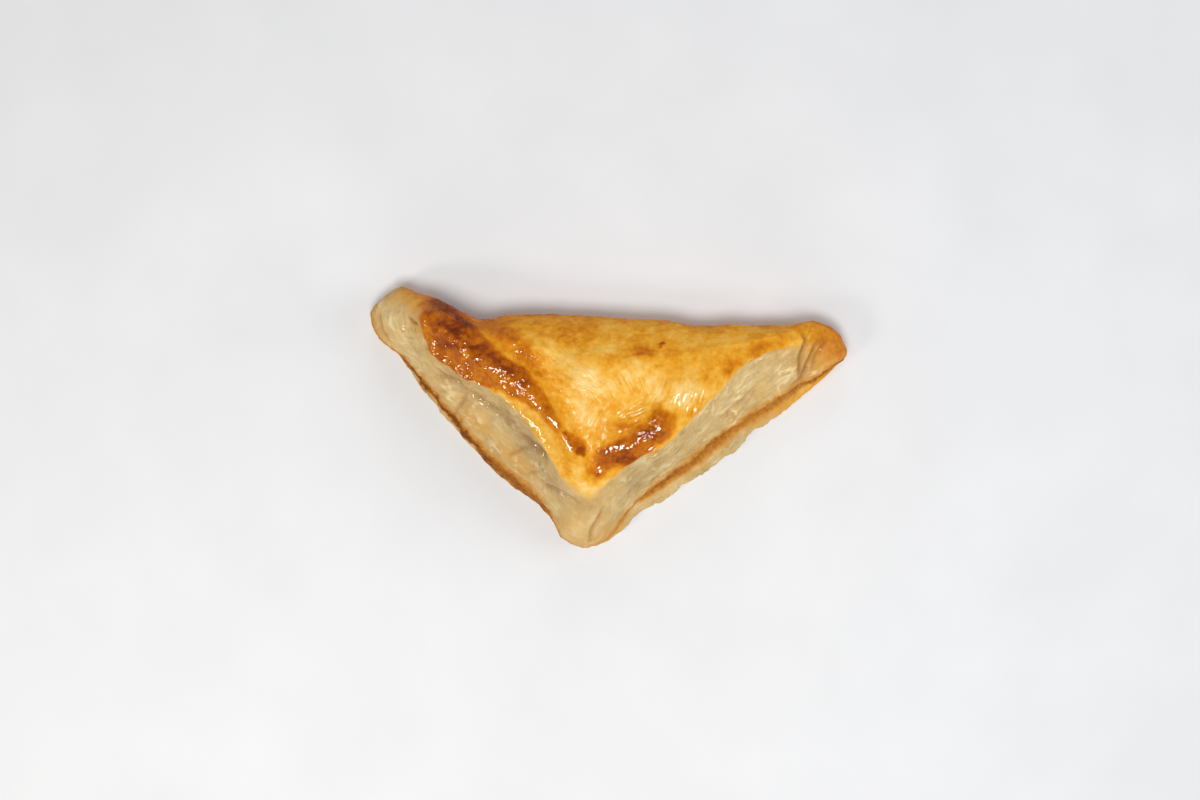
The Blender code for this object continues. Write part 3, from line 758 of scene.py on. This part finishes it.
def plain_top(x, y, edge_row, a_side):
    """The dome of the top over the heights of its edge, and a soft distance to that edge.

    Each piece of the edge pulls on a point by the integral of 1 / distance cubed along it. The pulls weigh
    the edge's heights, and their sum turns back into a distance that has no kinks.
    """
    pulls = np.zeros((2,) + x.shape)
    carried = np.zeros_like(x)
    for number, (start, end) in enumerate(zip(edge_row, np.roll(edge_row, -1, axis=0))):
        step = end[:2] - start[:2]
        length = np.hypot(step[0], step[1])
        past_start = ((x - start[0]) * step[0] + (y - start[1]) * step[1]) / length
        to_end = length - past_start
        off_line = np.maximum((x - start[0]) ** 2 + (y - start[1]) ** 2 - past_start**2, 0) + TINY
        from_start = np.sqrt(off_line + past_start**2)
        from_end = np.sqrt(off_line + to_end**2)
        pull = (to_end / from_end + past_start / from_start) / off_line
        pulls[int(number >= a_side)] += pull
        slope = (end[2] - start[2]) / length
        carried += pull * (start[2] + slope * past_start) + slope * (1 / from_start - 1 / from_end)
    total = pulls.sum(axis=0)
    to_cut, to_fold = np.sqrt(2 / pulls)
    dome = DOME_HEIGHT * (1 - np.exp(-to_cut / DOME_CLIMB)) * (1 - np.exp(-to_fold / DOME_FALL))
    return carried / total + dome, np.sqrt(2 / total)


def facing_columns(a_side):
    """For each column the one across the spine from it."""
    return (-np.arange(2 * a_side)) % (2 * a_side)


def top_rows(edge_row, a_side, rings):
    """The rings of the glazed top, inside its edge. They close on a spine, where facing columns meet."""
    edge = edge_row[:, :2]
    middle = (edge + edge[facing_columns(a_side)]) / 2
    centre = middle[: a_side + 1].mean(axis=0)
    spine = centre + (middle - centre) * SPINE_SHRINK
    inward = (np.arange(1, rings + 1) / rings)[:, None, None]
    plan = edge + (spine - edge) * inward
    x, y = plan[..., 0], plan[..., 1]
    height, to_edge = plain_top(x, y, edge_row, a_side)
    height += top_relief(x, y) * (1 - np.exp(-((to_edge / RELIEF_RUN) ** SHOULDER_POWER)))
    return list(np.concatenate([plan, height[..., None]], axis=2))


def split_rows(rows, splits):
    """Rows with more of them between each pair, on a smooth curve through the given ones."""
    rows = np.array(rows)
    before = np.concatenate([rows[:1], rows[:-1]])
    after = np.concatenate([rows[1:], rows[-1:]])
    slopes = (after - before) / 2
    out = [rows[0]]
    for number, count in enumerate(splits):
        for step in range(1, count + 1):
            t = step / count
            ends = rows[number], slopes[number], rows[number + 1], slopes[number + 1]
            out.append(smooth_between(*ends, t))
    return out


def lattice_value(ix, iy, iz, seed):
    """A fixed value from 0 to 1 for each whole-number place."""
    mixed = ix * 374761393 + iy * 668265263 + iz * 2147483647 + seed * 144665
    mixed = (mixed ^ (mixed >> 13)) * 1274126177
    mixed = mixed ^ (mixed >> 16)
    return (mixed & 0xFFFFF) / 0xFFFFF


def soft_noise(points, scale, seed):
    """Smooth noise from -1 to 1, with features about as large as scale, which may differ by axis."""
    place = points / np.asarray(scale, float)
    cell = np.floor(place).astype(np.int64)
    t = place - cell
    t = t * t * t * (t * (t * 6 - 15) + 10)
    total = np.zeros(points.shape[:-1])
    for dx in (0, 1):
        for dy in (0, 1):
            for dz in (0, 1):
                weight = np.abs(1 - dx - t[..., 0]) * np.abs(1 - dy - t[..., 1]) * np.abs(1 - dz - t[..., 2])
                total += weight * lattice_value(cell[..., 0] + dx, cell[..., 1] + dy, cell[..., 2] + dz, seed)
    return total * 2 - 1


def noise_sum(points, waves):
    """The sum of smooth noises, each given as its amount, size and seed."""
    return sum(amount * soft_noise(points, size, seed) for amount, size, seed in waves)


def layered_noise(points, scale, seed, octaves=3):
    """Smooth noise with smaller and weaker noise laid over it."""
    total = np.zeros(points.shape[:-1])
    size = 0.0
    for octave in range(octaves):
        share = 0.5**octave
        total += share * soft_noise(points, np.asarray(scale, float) * share, seed + octave * 17)
        size += share
    return total / size


def cell_domes(points, size, seed):
    """Round domes, 1 at their middles and 0 between them, one in each cell of a jittered lattice."""
    place = points / size
    cell = np.floor(place).astype(np.int64)
    nearest = np.full(points.shape[:-1], np.inf)
    for dx in (-1, 0, 1):
        for dy in (-1, 0, 1):
            for dz in (-1, 0, 1):
                spot = cell + (dx, dy, dz)
                gap = np.zeros(points.shape[:-1])
                for axis in range(3):
                    jitter = lattice_value(spot[..., 0], spot[..., 1], spot[..., 2], seed + axis * 7)
                    gap += (spot[..., axis] + jitter - place[..., axis]) ** 2
                nearest = np.minimum(nearest, gap)
    return np.clip(1 - nearest, 0, 1)


def step_between(low, high, value):
    """A soft step, 0 at low and 1 at high."""
    t = np.clip((value - low) / (high - low), 0, 1)
    return t * t * (3 - 2 * t)


def grid_normals(points):
    """Outward unit normals of a grid whose columns close round and whose rows climb."""
    along = np.roll(points, -1, axis=1) - np.roll(points, 1, axis=1)
    up = np.empty_like(points)
    up[1:-1] = points[2:] - points[:-2]
    up[0] = points[1] - points[0]
    up[-1] = points[-1] - points[-2]
    normal = np.cross(along, up)
    length = np.linalg.norm(normal, axis=2, keepdims=True)
    return normal / np.maximum(length, SHORTEST_NORMAL)


class Crust:
    """The whole surface as a grid of points, with fields that say what each point is."""

    level = 1.0

    def __init__(self, a_side):
        self.facing = facing_columns(a_side)
        columns, numbers = columns_round_outline(a_side)
        side = side_rows(columns, numbers, EDGE_ROWS, WALL_ROWS)
        top = top_rows(side[-1], a_side, TOP_RINGS)
        ledge_rows = len(LEDGE_SHARES)
        splits = [EDGE_SPLITS] * EDGE_ROWS + [LEDGE_SPLITS] * ledge_rows + [WALL_SPLITS] * WALL_ROWS
        self.base = np.array(split_rows(side, splits) + top)
        edge_top = EDGE_SPLITS * EDGE_ROWS
        lip = edge_top + LEDGE_SPLITS * ledge_rows
        glaze_edge = lip + WALL_SPLITS * WALL_ROWS
        rows = len(self.base)
        row = np.arange(rows)[:, None] * np.ones(2 * a_side)
        self.number = np.ones((rows, 1)) * numbers
        self.rounded = np.ones((rows, 1)) * columns.round
        self.edge = np.clip(row / edge_top, 0, 1)
        self.ledge = np.clip((row - edge_top) / (lip - edge_top), 0, 1)
        self.wall = np.clip((row - lip) / (glaze_edge - lip), 0, 1)
        self.top = np.clip((row - glaze_edge) / (rows - 1 - glaze_edge), 0, 1)
        rim = np.column_stack([columns.x, columns.y])
        inward = np.column_stack([columns.gx, columns.gy]) - rim
        inward /= np.linalg.norm(inward, axis=1)[:, None]
        inset = ((self.base[..., :2] - rim) * inward).sum(axis=2)
        self.past_lip = inset - inset[lip]
        steps = np.linalg.norm(np.diff(self.base, axis=0), axis=2)
        length = np.concatenate([np.zeros((1, 2 * a_side)), np.cumsum(steps, axis=0)])
        self.past_glaze = length - length[glaze_edge]
        self.x, self.y, self.z = np.moveaxis(self.base, 2, 0)
        self.broad = layered_noise(self.base, *BROAD_NOISE)
        self.wavy = layered_noise(self.base, *WAVY_NOISE)
        self.fine = layered_noise(self.base, *FINE_NOISE)
        self.small = soft_noise(self.base, *SMALL_NOISE)

    def mixed(self, amounts):
        """The sum of this crust's fields, each times its amount. The field level is 1 everywhere."""
        return sum(amount * getattr(self, field) for field, amount in amounts.items())

    def read_round(self, table, shift=0.0):
        """Values of a table that runs round the outline by section number."""
        place, *values = np.array(table).T
        return [np.interp(self.number + shift, place, column) for column in values]

    def streaks_of(self, bend, size, seed):
        """Streaks that run along the layers, 1 on their crests."""
        bent = self.base + bend * self.wavy[..., None]
        return 1 - STREAK_SHARPNESS * np.abs(soft_noise(bent, size, seed))

    def mark_glaze(self):
        """Where the crust is bare of glaze, and how much of that is wall."""
        [start] = self.read_round(GLAZE_START)
        [soft] = self.read_round(GLAZE_FADE)
        glazed = step_between(-soft, soft, self.past_glaze - start + self.mixed(GLAZE_WOBBLE))
        on_wall, on_sheet = self.read_round(BARE_ROUND, BARE_WOBBLE * self.wavy)
        upper = step_between(*SHEET_TO_WALL, self.ledge)
        self.bare = (on_wall * upper + on_sheet * (1 - upper)) * (1 - glazed)
        below_glaze = 1 - step_between(-GLAZE_OVERLAP, GLAZE_OVERLAP, self.past_glaze)
        self.bare_wall = self.bare * np.clip(self.wall / WALL_START, 0, 1) * below_glaze

    def mark_seam(self):
        """How far a point lies in the browned seam between the two sheets."""
        reach_out, reach_in, dark = self.read_round(SEAM_ROUND)
        past = self.past_lip + self.mixed(SEAM_WOBBLE)
        outer = np.exp(-((np.maximum(-past, 0) / reach_out) ** 4))
        inner = np.where(self.wall > 0, np.exp(-((np.maximum(past, 0) / reach_in) ** 2)), 1.0)
        self.seam = np.clip(dark * outer * inner, 0, 1) * (self.top == 0) * (self.edge >= 1)

    def mark_bake(self):
        """How brown the glaze has baked, with painted shade on the fold and the rounded sides and painted
        sheen on paler patches, and the blisters, which are where it is brownest.
        """
        gap, along, side = line_distance(self.x, self.y, RIDGE_LINE)
        place, dark, reach_cut, reach_valley = np.array(RIDGE_BAKE).T
        past = gap * side + self.mixed(RIDGE_WOBBLE)
        ridge = np.interp(along, place, dark)
        ridge *= step_between(-RIDGE_FADE, RIDGE_FADE, past + np.interp(along, place, reach_cut))
        ridge *= step_between(RIDGE_FADE, -RIDGE_FADE, past - np.interp(along, place, reach_valley))
        beyond = (along <= 0) & (gap > RIDGE_END)
        ridge *= np.where(beyond, np.exp((RIDGE_END - gap) / RIDGE_END_FADE), 1)
        u, v = (
            middle + noise_sum(self.base, waves) for middle, waves in zip((self.x, self.y), PATCH_WANDER)
        )
        bake = BAKE_BASE + ridge + patches(u, v, BAKE_AND_LIGHT_PATCHES) + self.mixed(BAKE_NOISE)
        bake += flat_patches(u, v, BLISTERS, self.mixed(BLISTER_WOBBLE))
        spotted = step_between(*DARK_SPOT_STEP, layered_noise(self.base, *DARK_SPOT_NOISE))
        bake += patches(u, v, DARK_SPOTS) * spotted
        # Painted shade: the rounded sides darken lower down.
        bake += ROUND_SHADE * self.rounded * step_between(*ROUND_SHADE_HEIGHTS, self.z)
        self.bake = np.clip(bake, 0, 1)
        self.blister = np.clip((self.bake - BLISTER_FROM) * BLISTER_RISE, 0, 1) * (1 - self.bare)

    def mark_dough(self):
        """The thin layers of the bare walls, with painted shade in their gaps, and where the dough is golden,
        greyer with painted shade, and paler, with painted highlights on the streaks.
        """
        layers = LAYERS_HIGH * self.wall + noise_sum(self.base, LAYER_BEND)
        crest = np.abs(2 * (layers - np.floor(layers)) - 1)
        strong = step_between(*LAYER_STRONG, soft_noise(self.base, *LAYER_STRONG_NOISE))
        [self.layered] = self.read_round(LAYERS_SHOWN)
        # Painted shade: this share darkens the gaps between the thin layers.
        self.layer = self.bare_wall * step_between(*LAYER_CREST, crest) * strong * self.layered
        self.leaves = self.bare * self.layered
        self.streaks = self.streaks_of(*STREAKS)
        self.thin_streaks = self.streaks_of(*THIN_STREAKS)
        # Painted shade: darker, greyer patches on the bare walls.
        grey_and_shade = patches(self.x, self.y, SHADE_GREY_PATCHES) * (1 + SHADE_GREY_VARIES * self.wavy)
        self.grey_and_shade = np.clip(grey_and_shade, 0, 1) * self.bare_wall
        pale_and_highlight = patches(self.x, self.y, PALE_PATCHES) * (1 + PALE_VARIES * self.wavy)
        # Painted highlight: the crests of the streaks are paler.
        pale_and_highlight += self.layered * step_between(*STREAK_HIGHLIGHT, self.streaks) * step_between(*STREAK_HIGHLIGHT_WAVY, self.wavy)
        self.pale_and_highlight = np.clip(self.bare_wall * pale_and_highlight, 0, 1)
        self.low = step_between(*TOAST_HEIGHTS, self.z)
        self.near_lip = np.exp(-((self.past_lip / TOAST_LIP_RUN) ** 2))
        self.near_glaze = step_between(-TOAST_GLAZE_RUN, 0.0, self.past_glaze)
        self.toast = np.clip(self.mixed(TOAST) + patches(self.x, self.y, TOAST_PATCHES), 0, 1)

    def mark_sheen(self):
        """Where the glaze shines: less on rounded sides, and not down the fold or on steep places."""
        self.light_glaze = np.clip(-LIGHT_GLAZE_GAIN * patches(self.x, self.y, BAKE_AND_LIGHT_PATCHES), 0, 1)
        shown = step_between(*SHINE_ENDS_Y, self.y)
        shown *= step_between(*SHINE_FACING_UP, grid_normals(self.base)[..., 2])
        sheen = np.clip(self.mixed(SHEEN), 0, 1) * (1 - ROUND_DULLS * self.rounded) * (1 - self.bare) * shown
        sheets = SHEET_SHINE * patches(self.x, self.y, SHINY_SHEETS) * self.bare_wall
        self.sheen = np.clip(sheen + sheets, 0, 1)
        self.shiny_blister = self.blister * shown

    def mark_creases(self):
        """How deep the creases are, in the field groove, and how dark, in the field line: partly browning,
        partly painted shade in the grooves.
        """
        self.groove = np.zeros_like(self.x)
        self.line = np.zeros_like(self.x)
        upper = step_between(*CREASE_HEIGHTS, self.z)
        for crease in CREASES:
            gap, along, _ = line_distance(self.x, self.y, crease.line)
            shown = upper * np.clip(CREASE_END + np.minimum(along, 1 - along) / CREASE_FADE, 0, 1)
            dip = np.exp(-((gap / crease.half) ** 2))
            crease_shade = np.exp(-((gap / (crease.half * CREASE_SHADE_WIDTH)) ** 2))
            self.groove = np.maximum(self.groove, crease.depth * shown * dip)
            self.line = np.maximum(self.line, crease.brown * shown * crease_shade)

    def wrinkle_height(self):
        """Fine wrinkles: patches that run one way, and the fan that gathers on the big blister."""
        height = np.zeros_like(self.x)
        flat = np.zeros_like(self.x)
        for patch in WRINKLES:
            along, across = turned(self.x, self.y, patch)
            share = np.exp(-((along / patch.reach) ** 2) - (across / patch.reach) ** 2)
            place = np.stack([along, across + WRINKLE_BEND * self.wavy, flat], axis=-1)
            size = (WRINKLE_LENGTH * patch.apart, patch.apart, 1.0)
            height += patch.depth * share * (1 - 2 * np.abs(soft_noise(place, size, WRINKLE_SEED)))
        u, v = self.x - GATHER[0], self.y - GATHER[1]
        reach = np.hypot(u, v)
        angle = np.arctan2(v, -u)
        fan = np.exp(-((reach / GATHER_REACH) ** 4)) * np.exp(-((angle / GATHER_SPREAD) ** 4))
        bent = soft_noise(np.stack([reach, angle * GATHER_BENDS, flat], axis=-1), *GATHER_NOISE)
        folds = 1 - 2 * np.abs(np.sin(angle * GATHER_FOLDS / 2 + GATHER_BEND * bent))
        height += GATHER_DEPTH * fan * np.clip(reach / GATHER_HUB, GATHER_HUB_DEPTH, 1) * folds
        return height * np.clip(self.top + self.wall, 0, 1)

    def teeth_height(self):
        """How far the ragged edge of the lower sheet reaches out."""
        [reach] = self.read_round(RAGGED)
        pressed = self.base / TEETH_STRETCH
        clumped = TEETH_CLUMPED[0] + TEETH_CLUMPED[1] * soft_noise(self.base, *TEETH_CLUMPS) ** 2
        teeth = soft_noise(pressed, *TEETH) * clumped
        teeth += SMALL_TEETH_SHARE * soft_noise(pressed, *SMALL_TEETH) - TEETH_SINK
        return teeth * reach * (self.ledge < TEETH_UP_TO) * self.edge

    def relief(self):
        """How far the fine relief stands out of the smooth surface, apart from the wrinkles."""
        rolled = np.roll(self.fine, PEBBLE_ROLL, axis=1)
        bent = self.base + PEBBLE_BEND * np.stack([self.fine, rolled, self.wavy], axis=-1)
        clumped = step_between(-PEBBLE_CLUMP_FADE, PEBBLE_CLUMP_FADE, soft_noise(self.base, *PEBBLE_CLUMPS))
        self.pebbles = cell_domes(bent, *PEBBLES) * clumped
        self.small_pebbles = cell_domes(bent, *SMALL_PEBBLES)
        bare_sheet = self.bare * (self.wall == 0) * (self.edge >= 1) * (1 - self.seam)
        up = self.mixed(PLAIN_RELIEF) + self.blister * self.mixed(BLISTER_RELIEF)
        up += self.bare_wall * (self.mixed(WALL_RELIEF) + self.layered * self.mixed(STREAK_RELIEF))
        up += bare_sheet * self.mixed(SHEET_RELIEF) + self.seam * self.mixed(SEAM_RELIEF)
        return up + patches(self.x, self.y, FINE_SWELLS) - self.groove + self.teeth_height()

    def shape(self):
        """Works out every field on the smooth surface, then lays the fine relief on it."""
        self.mark_glaze()
        self.mark_seam()
        self.mark_bake()
        self.mark_dough()
        self.mark_sheen()
        self.mark_creases()
        wrinkled = self.wrinkle_height()
        up = (self.relief() + wrinkled) * np.clip(self.edge / HELD_EDGE, 0, 1)
        # Painted light and shade: wrinkle crests paler, troughs darker, except on the blisters.
        wrinkle_light = WRINKLE_LIGHT_AND_SHADE * wrinkled * (1 - self.shiny_blister)
        self.bake = np.clip(self.bake - wrinkle_light, 0, 1)
        self.points = self.base + grid_normals(self.base) * up[..., None]
        self.points[-1] = (self.points[-1] + self.points[-1][self.facing]) / 2
        self.points[..., 2] = np.maximum(self.points[..., 2], 0)
        self.points[0, :, 2] = 0
        facing_up = step_between(*COAT_FACING_UP, grid_normals(self.points)[..., 2])
        self.coat = np.clip(self.mixed(COAT), 0, 1) * facing_up

    def faces(self):
        """Quads between neighbouring rows, across the foot, and onto the spine, whose points are shared."""
        rows, count = self.points.shape[:2]
        index = np.arange(rows * count).reshape(rows, count)
        index[-1] = np.minimum(index[-1], index[-1][self.facing])
        right = np.roll(index, -1, axis=1)
        quads = np.stack([index[:-1], right[:-1], right[1:], index[1:]], axis=-1).reshape(-1, 4)
        start = np.arange(count // 2)
        foot = np.stack([start, self.facing[start], self.facing[start + 1], start + 1], axis=-1)
        return [tuple(dict.fromkeys(face)) for face in quads.tolist() + foot.tolist()]


def fit_to_box(points, box):
    """Moves the middle to the box's and shrinks each axis that would stand out of it."""
    low, high = (np.array(corner) / MM for corner in box)
    own_low, own_high = points.min(axis=0), points.max(axis=0)
    shrink = np.minimum(1, (high - low) / (own_high - own_low))
    middle = (own_low + own_high) / 2
    middle[2] = 0
    target = (low + high) / 2
    target[2] = 0
    return (points - middle) * shrink + target


def add_object(name, data):
    item = bpy.data.objects.new(name, data)
    bpy.context.scene.collection.objects.link(item)
    return item


def make_crust(material):
    crust = Crust(COLUMNS_A_SIDE)
    crust.shape()
    points = fit_to_box(crust.points.reshape(-1, 3), CAD_BOX) * MM
    faces = crust.faces()
    mesh = bpy.data.meshes.new("pastry")
    used = np.zeros(len(points), bool)
    used[np.concatenate([np.array(face) for face in faces])] = True
    renumber = (np.cumsum(used) - 1).tolist()
    mesh.from_pydata(points[used].tolist(), [], [[renumber[i] for i in face] for face in faces])
    mesh.update()
    mesh.shade_smooth()
    for name in SHARES:
        values = getattr(crust, name).reshape(-1)[used].astype(np.float32)
        mesh.attributes.new(name, "FLOAT", "POINT").data.foreach_set("value", values)
    mesh.materials.append(material)
    pastry = add_object("pastry", mesh)
    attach(pastry, "root")
    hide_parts("patty")


def add_node(tree, kind, **settings):
    node = tree.nodes.new(kind)
    for name, value in settings.items():
        setattr(node, name, value)
    return node


def fill_socket(tree, socket, value):
    """Links a socket to another one, or sets it to a number or colour."""
    if isinstance(value, bpy.types.NodeSocket):
        tree.links.new(value, socket)
    elif isinstance(value, tuple):
        socket.default_value = (*value, 1)
    else:
        socket.default_value = value


def math_of(tree, operation, *values, clamp=False):
    node = add_node(tree, "ShaderNodeMath", operation=operation, use_clamp=clamp)
    for socket, value in zip(node.inputs, values):
        fill_socket(tree, socket, value)
    return node.outputs[0]


def varied(tree, value, noise, amount):
    """The value, more where the noise is over its middle and less where it is under it."""
    return math_of(tree, "MULTIPLY_ADD", math_of(tree, "SUBTRACT", noise, 0.5), amount, value)


def noise_of(tree, size, detail, roughness, flat):
    """Noise on the object's coordinates, with features about size millimetres across, flat times as high."""
    place = add_node(tree, "ShaderNodeTexCoord").outputs["Object"]
    if flat != 1.0:
        pressed = add_node(tree, "ShaderNodeVectorMath", operation="MULTIPLY")
        pressed.inputs[1].default_value = (1.0, 1.0, 1 / flat)
        tree.links.new(place, pressed.inputs[0])
        place = pressed.outputs[0]
    noise = add_node(tree, "ShaderNodeTexNoise")
    noise.inputs["Scale"].default_value = 1 / (size * MM)
    noise.inputs["Detail"].default_value = detail
    noise.inputs["Roughness"].default_value = roughness
    tree.links.new(place, noise.inputs["Vector"])
    return noise.outputs["Fac"]


def ramp_of(tree, value, stops):
    ramp = add_node(tree, "ShaderNodeValToRGB")
    elements = ramp.color_ramp.elements
    elements.remove(elements[-1])
    elements[0].position = stops[0][0]
    elements[0].color = (*stops[0][1], 1)
    for place, colour in stops[1:]:
        elements.new(place).color = (*colour, 1)
    tree.links.new(value, ramp.inputs["Fac"])
    return ramp.outputs["Color"]


def mix_of(tree, share, first, second):
    """A mix of two colours."""
    mix = add_node(tree, "ShaderNodeMix", data_type="RGBA")
    for number, value in zip(MIX_COLOUR_INPUTS, (share, first, second)):
        fill_socket(tree, mix.inputs[number], value)
    return mix.outputs[MIX_COLOUR_OUTPUT]


def between(tree, share, first, second):
    """A number that goes from first to second as the share goes from 0 to 1."""
    return math_of(tree, "MULTIPLY_ADD", share, second - first, first)


def crust_colour(tree, share, noise):
    """The colour of the glaze, the bare dough, the creases and the seam, one over the other, with painted
    shade and highlights carried by some of the shares.
    """
    baked = share["bake"]
    for name, amount in GLAZE_MOTTLE.items():
        baked = varied(tree, baked, noise[name], amount)
    strata = math_of(tree, "MULTIPLY", math_of(tree, "SUBTRACT", noise["strata"], 0.5), share["leaves"])
    tone = varied(tree, noise["cloudy"], noise["speckle"], DOUGH_SPECKLE)
    tone = math_of(tree, "MULTIPLY_ADD", strata, DOUGH_STRATA, tone)
    dough = mix_of(tree, ramp_of(tree, noise["warm"], OCHRE_SHARE), ramp_of(tree, tone, DOUGH_COLOURS), OCHRE)
    for name, colour in DOUGH_TINTS.items():
        dough = mix_of(tree, share[name], dough, colour)
    skin = mix_of(tree, share["bare"], ramp_of(tree, baked, GLAZE_COLOURS), dough)
    # Painted shade: the creases darken, along with some browning of the folds.
    lined = mix_of(tree, share["line"], skin, CREASE_SHADE_COLOUR)
    seam_colour = ramp_of(tree, varied(tree, share["seam"], noise["speckle"], SEAM_SPECKLE), SEAM_COLOURS)
    in_seam = math_of(tree, "MULTIPLY", share["seam"], SEAM_GAIN, clamp=True)
    return mix_of(tree, in_seam, lined, seam_colour)


def crust_bump(tree, share, noise):
    """Fine grain, stronger where the glaze shines, small bumps, and leaves on the bare dough."""
    grain = math_of(tree, "MULTIPLY", noise["grain"], between(tree, share["sheen"], *GRAIN_HEIGHT))
    leaves = math_of(tree, "MULTIPLY", noise["strata"], share["leaves"])
    height = math_of(tree, "MULTIPLY_ADD", noise["bumps"], BUMPS_HEIGHT, grain)
    height = math_of(tree, "MULTIPLY_ADD", leaves, LEAVES_HEIGHT, height)
    bump = add_node(tree, "ShaderNodeBump")
    bump.inputs["Distance"].default_value = BUMP_DISTANCE * MM
    bump.inputs["Strength"].default_value = BUMP_STRENGTH
    tree.links.new(height, bump.inputs["Height"])
    return bump.outputs["Normal"]


def new_material(name):
    material = bpy.data.materials.new(name)
    material.use_nodes = True
    return material, material.node_tree, material.node_tree.nodes["Principled BSDF"].inputs


def crust_material():
    material, tree, shader = new_material("baked_crust")
    share = {}
    for name in SHARES:
        share[name] = add_node(tree, "ShaderNodeAttribute", attribute_name=name).outputs["Fac"]
    noise = {name: noise_of(tree, *values) for name, values in NOISES.items()}
    roughness = varied(tree, between(tree, share["sheen"], *ROUGHNESS), noise["speckle"], ROUGHNESS_SPECKLE)
    tree.links.new(crust_colour(tree, share, noise), shader["Base Color"])
    tree.links.new(roughness, shader["Roughness"])
    tree.links.new(share["coat"], shader["Coat Weight"])
    tree.links.new(crust_bump(tree, share, noise), shader["Normal"])
    shader["Coat Roughness"].default_value = 0.05
    shader["Coat IOR"].default_value = 1.85
    shader["Specular IOR Level"].default_value = 0.12
    return material


def floor_material():
    material, tree, shader = new_material("pale_floor")
    tone = ramp_of(tree, noise_of(tree, *FLOOR_NOISE), FLOOR_COLOURS)
    tree.links.new(tone, shader["Base Color"])
    shader["Roughness"].default_value = 0.7
    return material


def make_floor():
    mesh = bpy.data.meshes.new("floor")
    square = ((-1, -1), (1, -1), (1, 1), (-1, 1))
    corners = [(x * FLOOR_HALF, y * FLOOR_HALF, -FLOOR_DROP * MM) for x, y in square]
    mesh.from_pydata(corners, [], [(0, 1, 2, 3)])
    mesh.materials.append(floor_material())
    add_object("floor", mesh)


def make_studio():
    scene = bpy.context.scene
    world = bpy.data.worlds.new("studio")
    world.use_nodes = True
    background = world.node_tree.nodes["Background"]
    background.inputs["Color"].default_value = (*WHITE, 1)
    background.inputs["Strength"].default_value = WORLD_STRENGTH
    scene.world = world
    world.cycles_visibility.glossy = False
    scene.view_settings.view_transform = "Standard"
    for name, place, size, power, colour, shines in LIGHTS:
        light = bpy.data.lights.new(name, "AREA")
        light.shape = "DISK"
        light.size = size
        light.energy = power
        light.color = colour
        lamp = add_object(name, light)
        lamp.location = place
        lamp.rotation_euler = (-lamp.location).to_track_quat("-Z", "Y").to_euler()
        lamp.visible_glossy = shines


def make_camera():
    data = bpy.data.cameras.new("camera")
    data.lens = LENS
    data.sensor_width = SENSOR
    camera = add_object("camera", data)
    camera.location = (CAMERA_X * MM, CAMERA_Y * MM, CAMERA_HEIGHT * MM)
    bpy.context.scene.camera = camera


make_camera()
make_crust(crust_material())
make_floor()
make_studio()
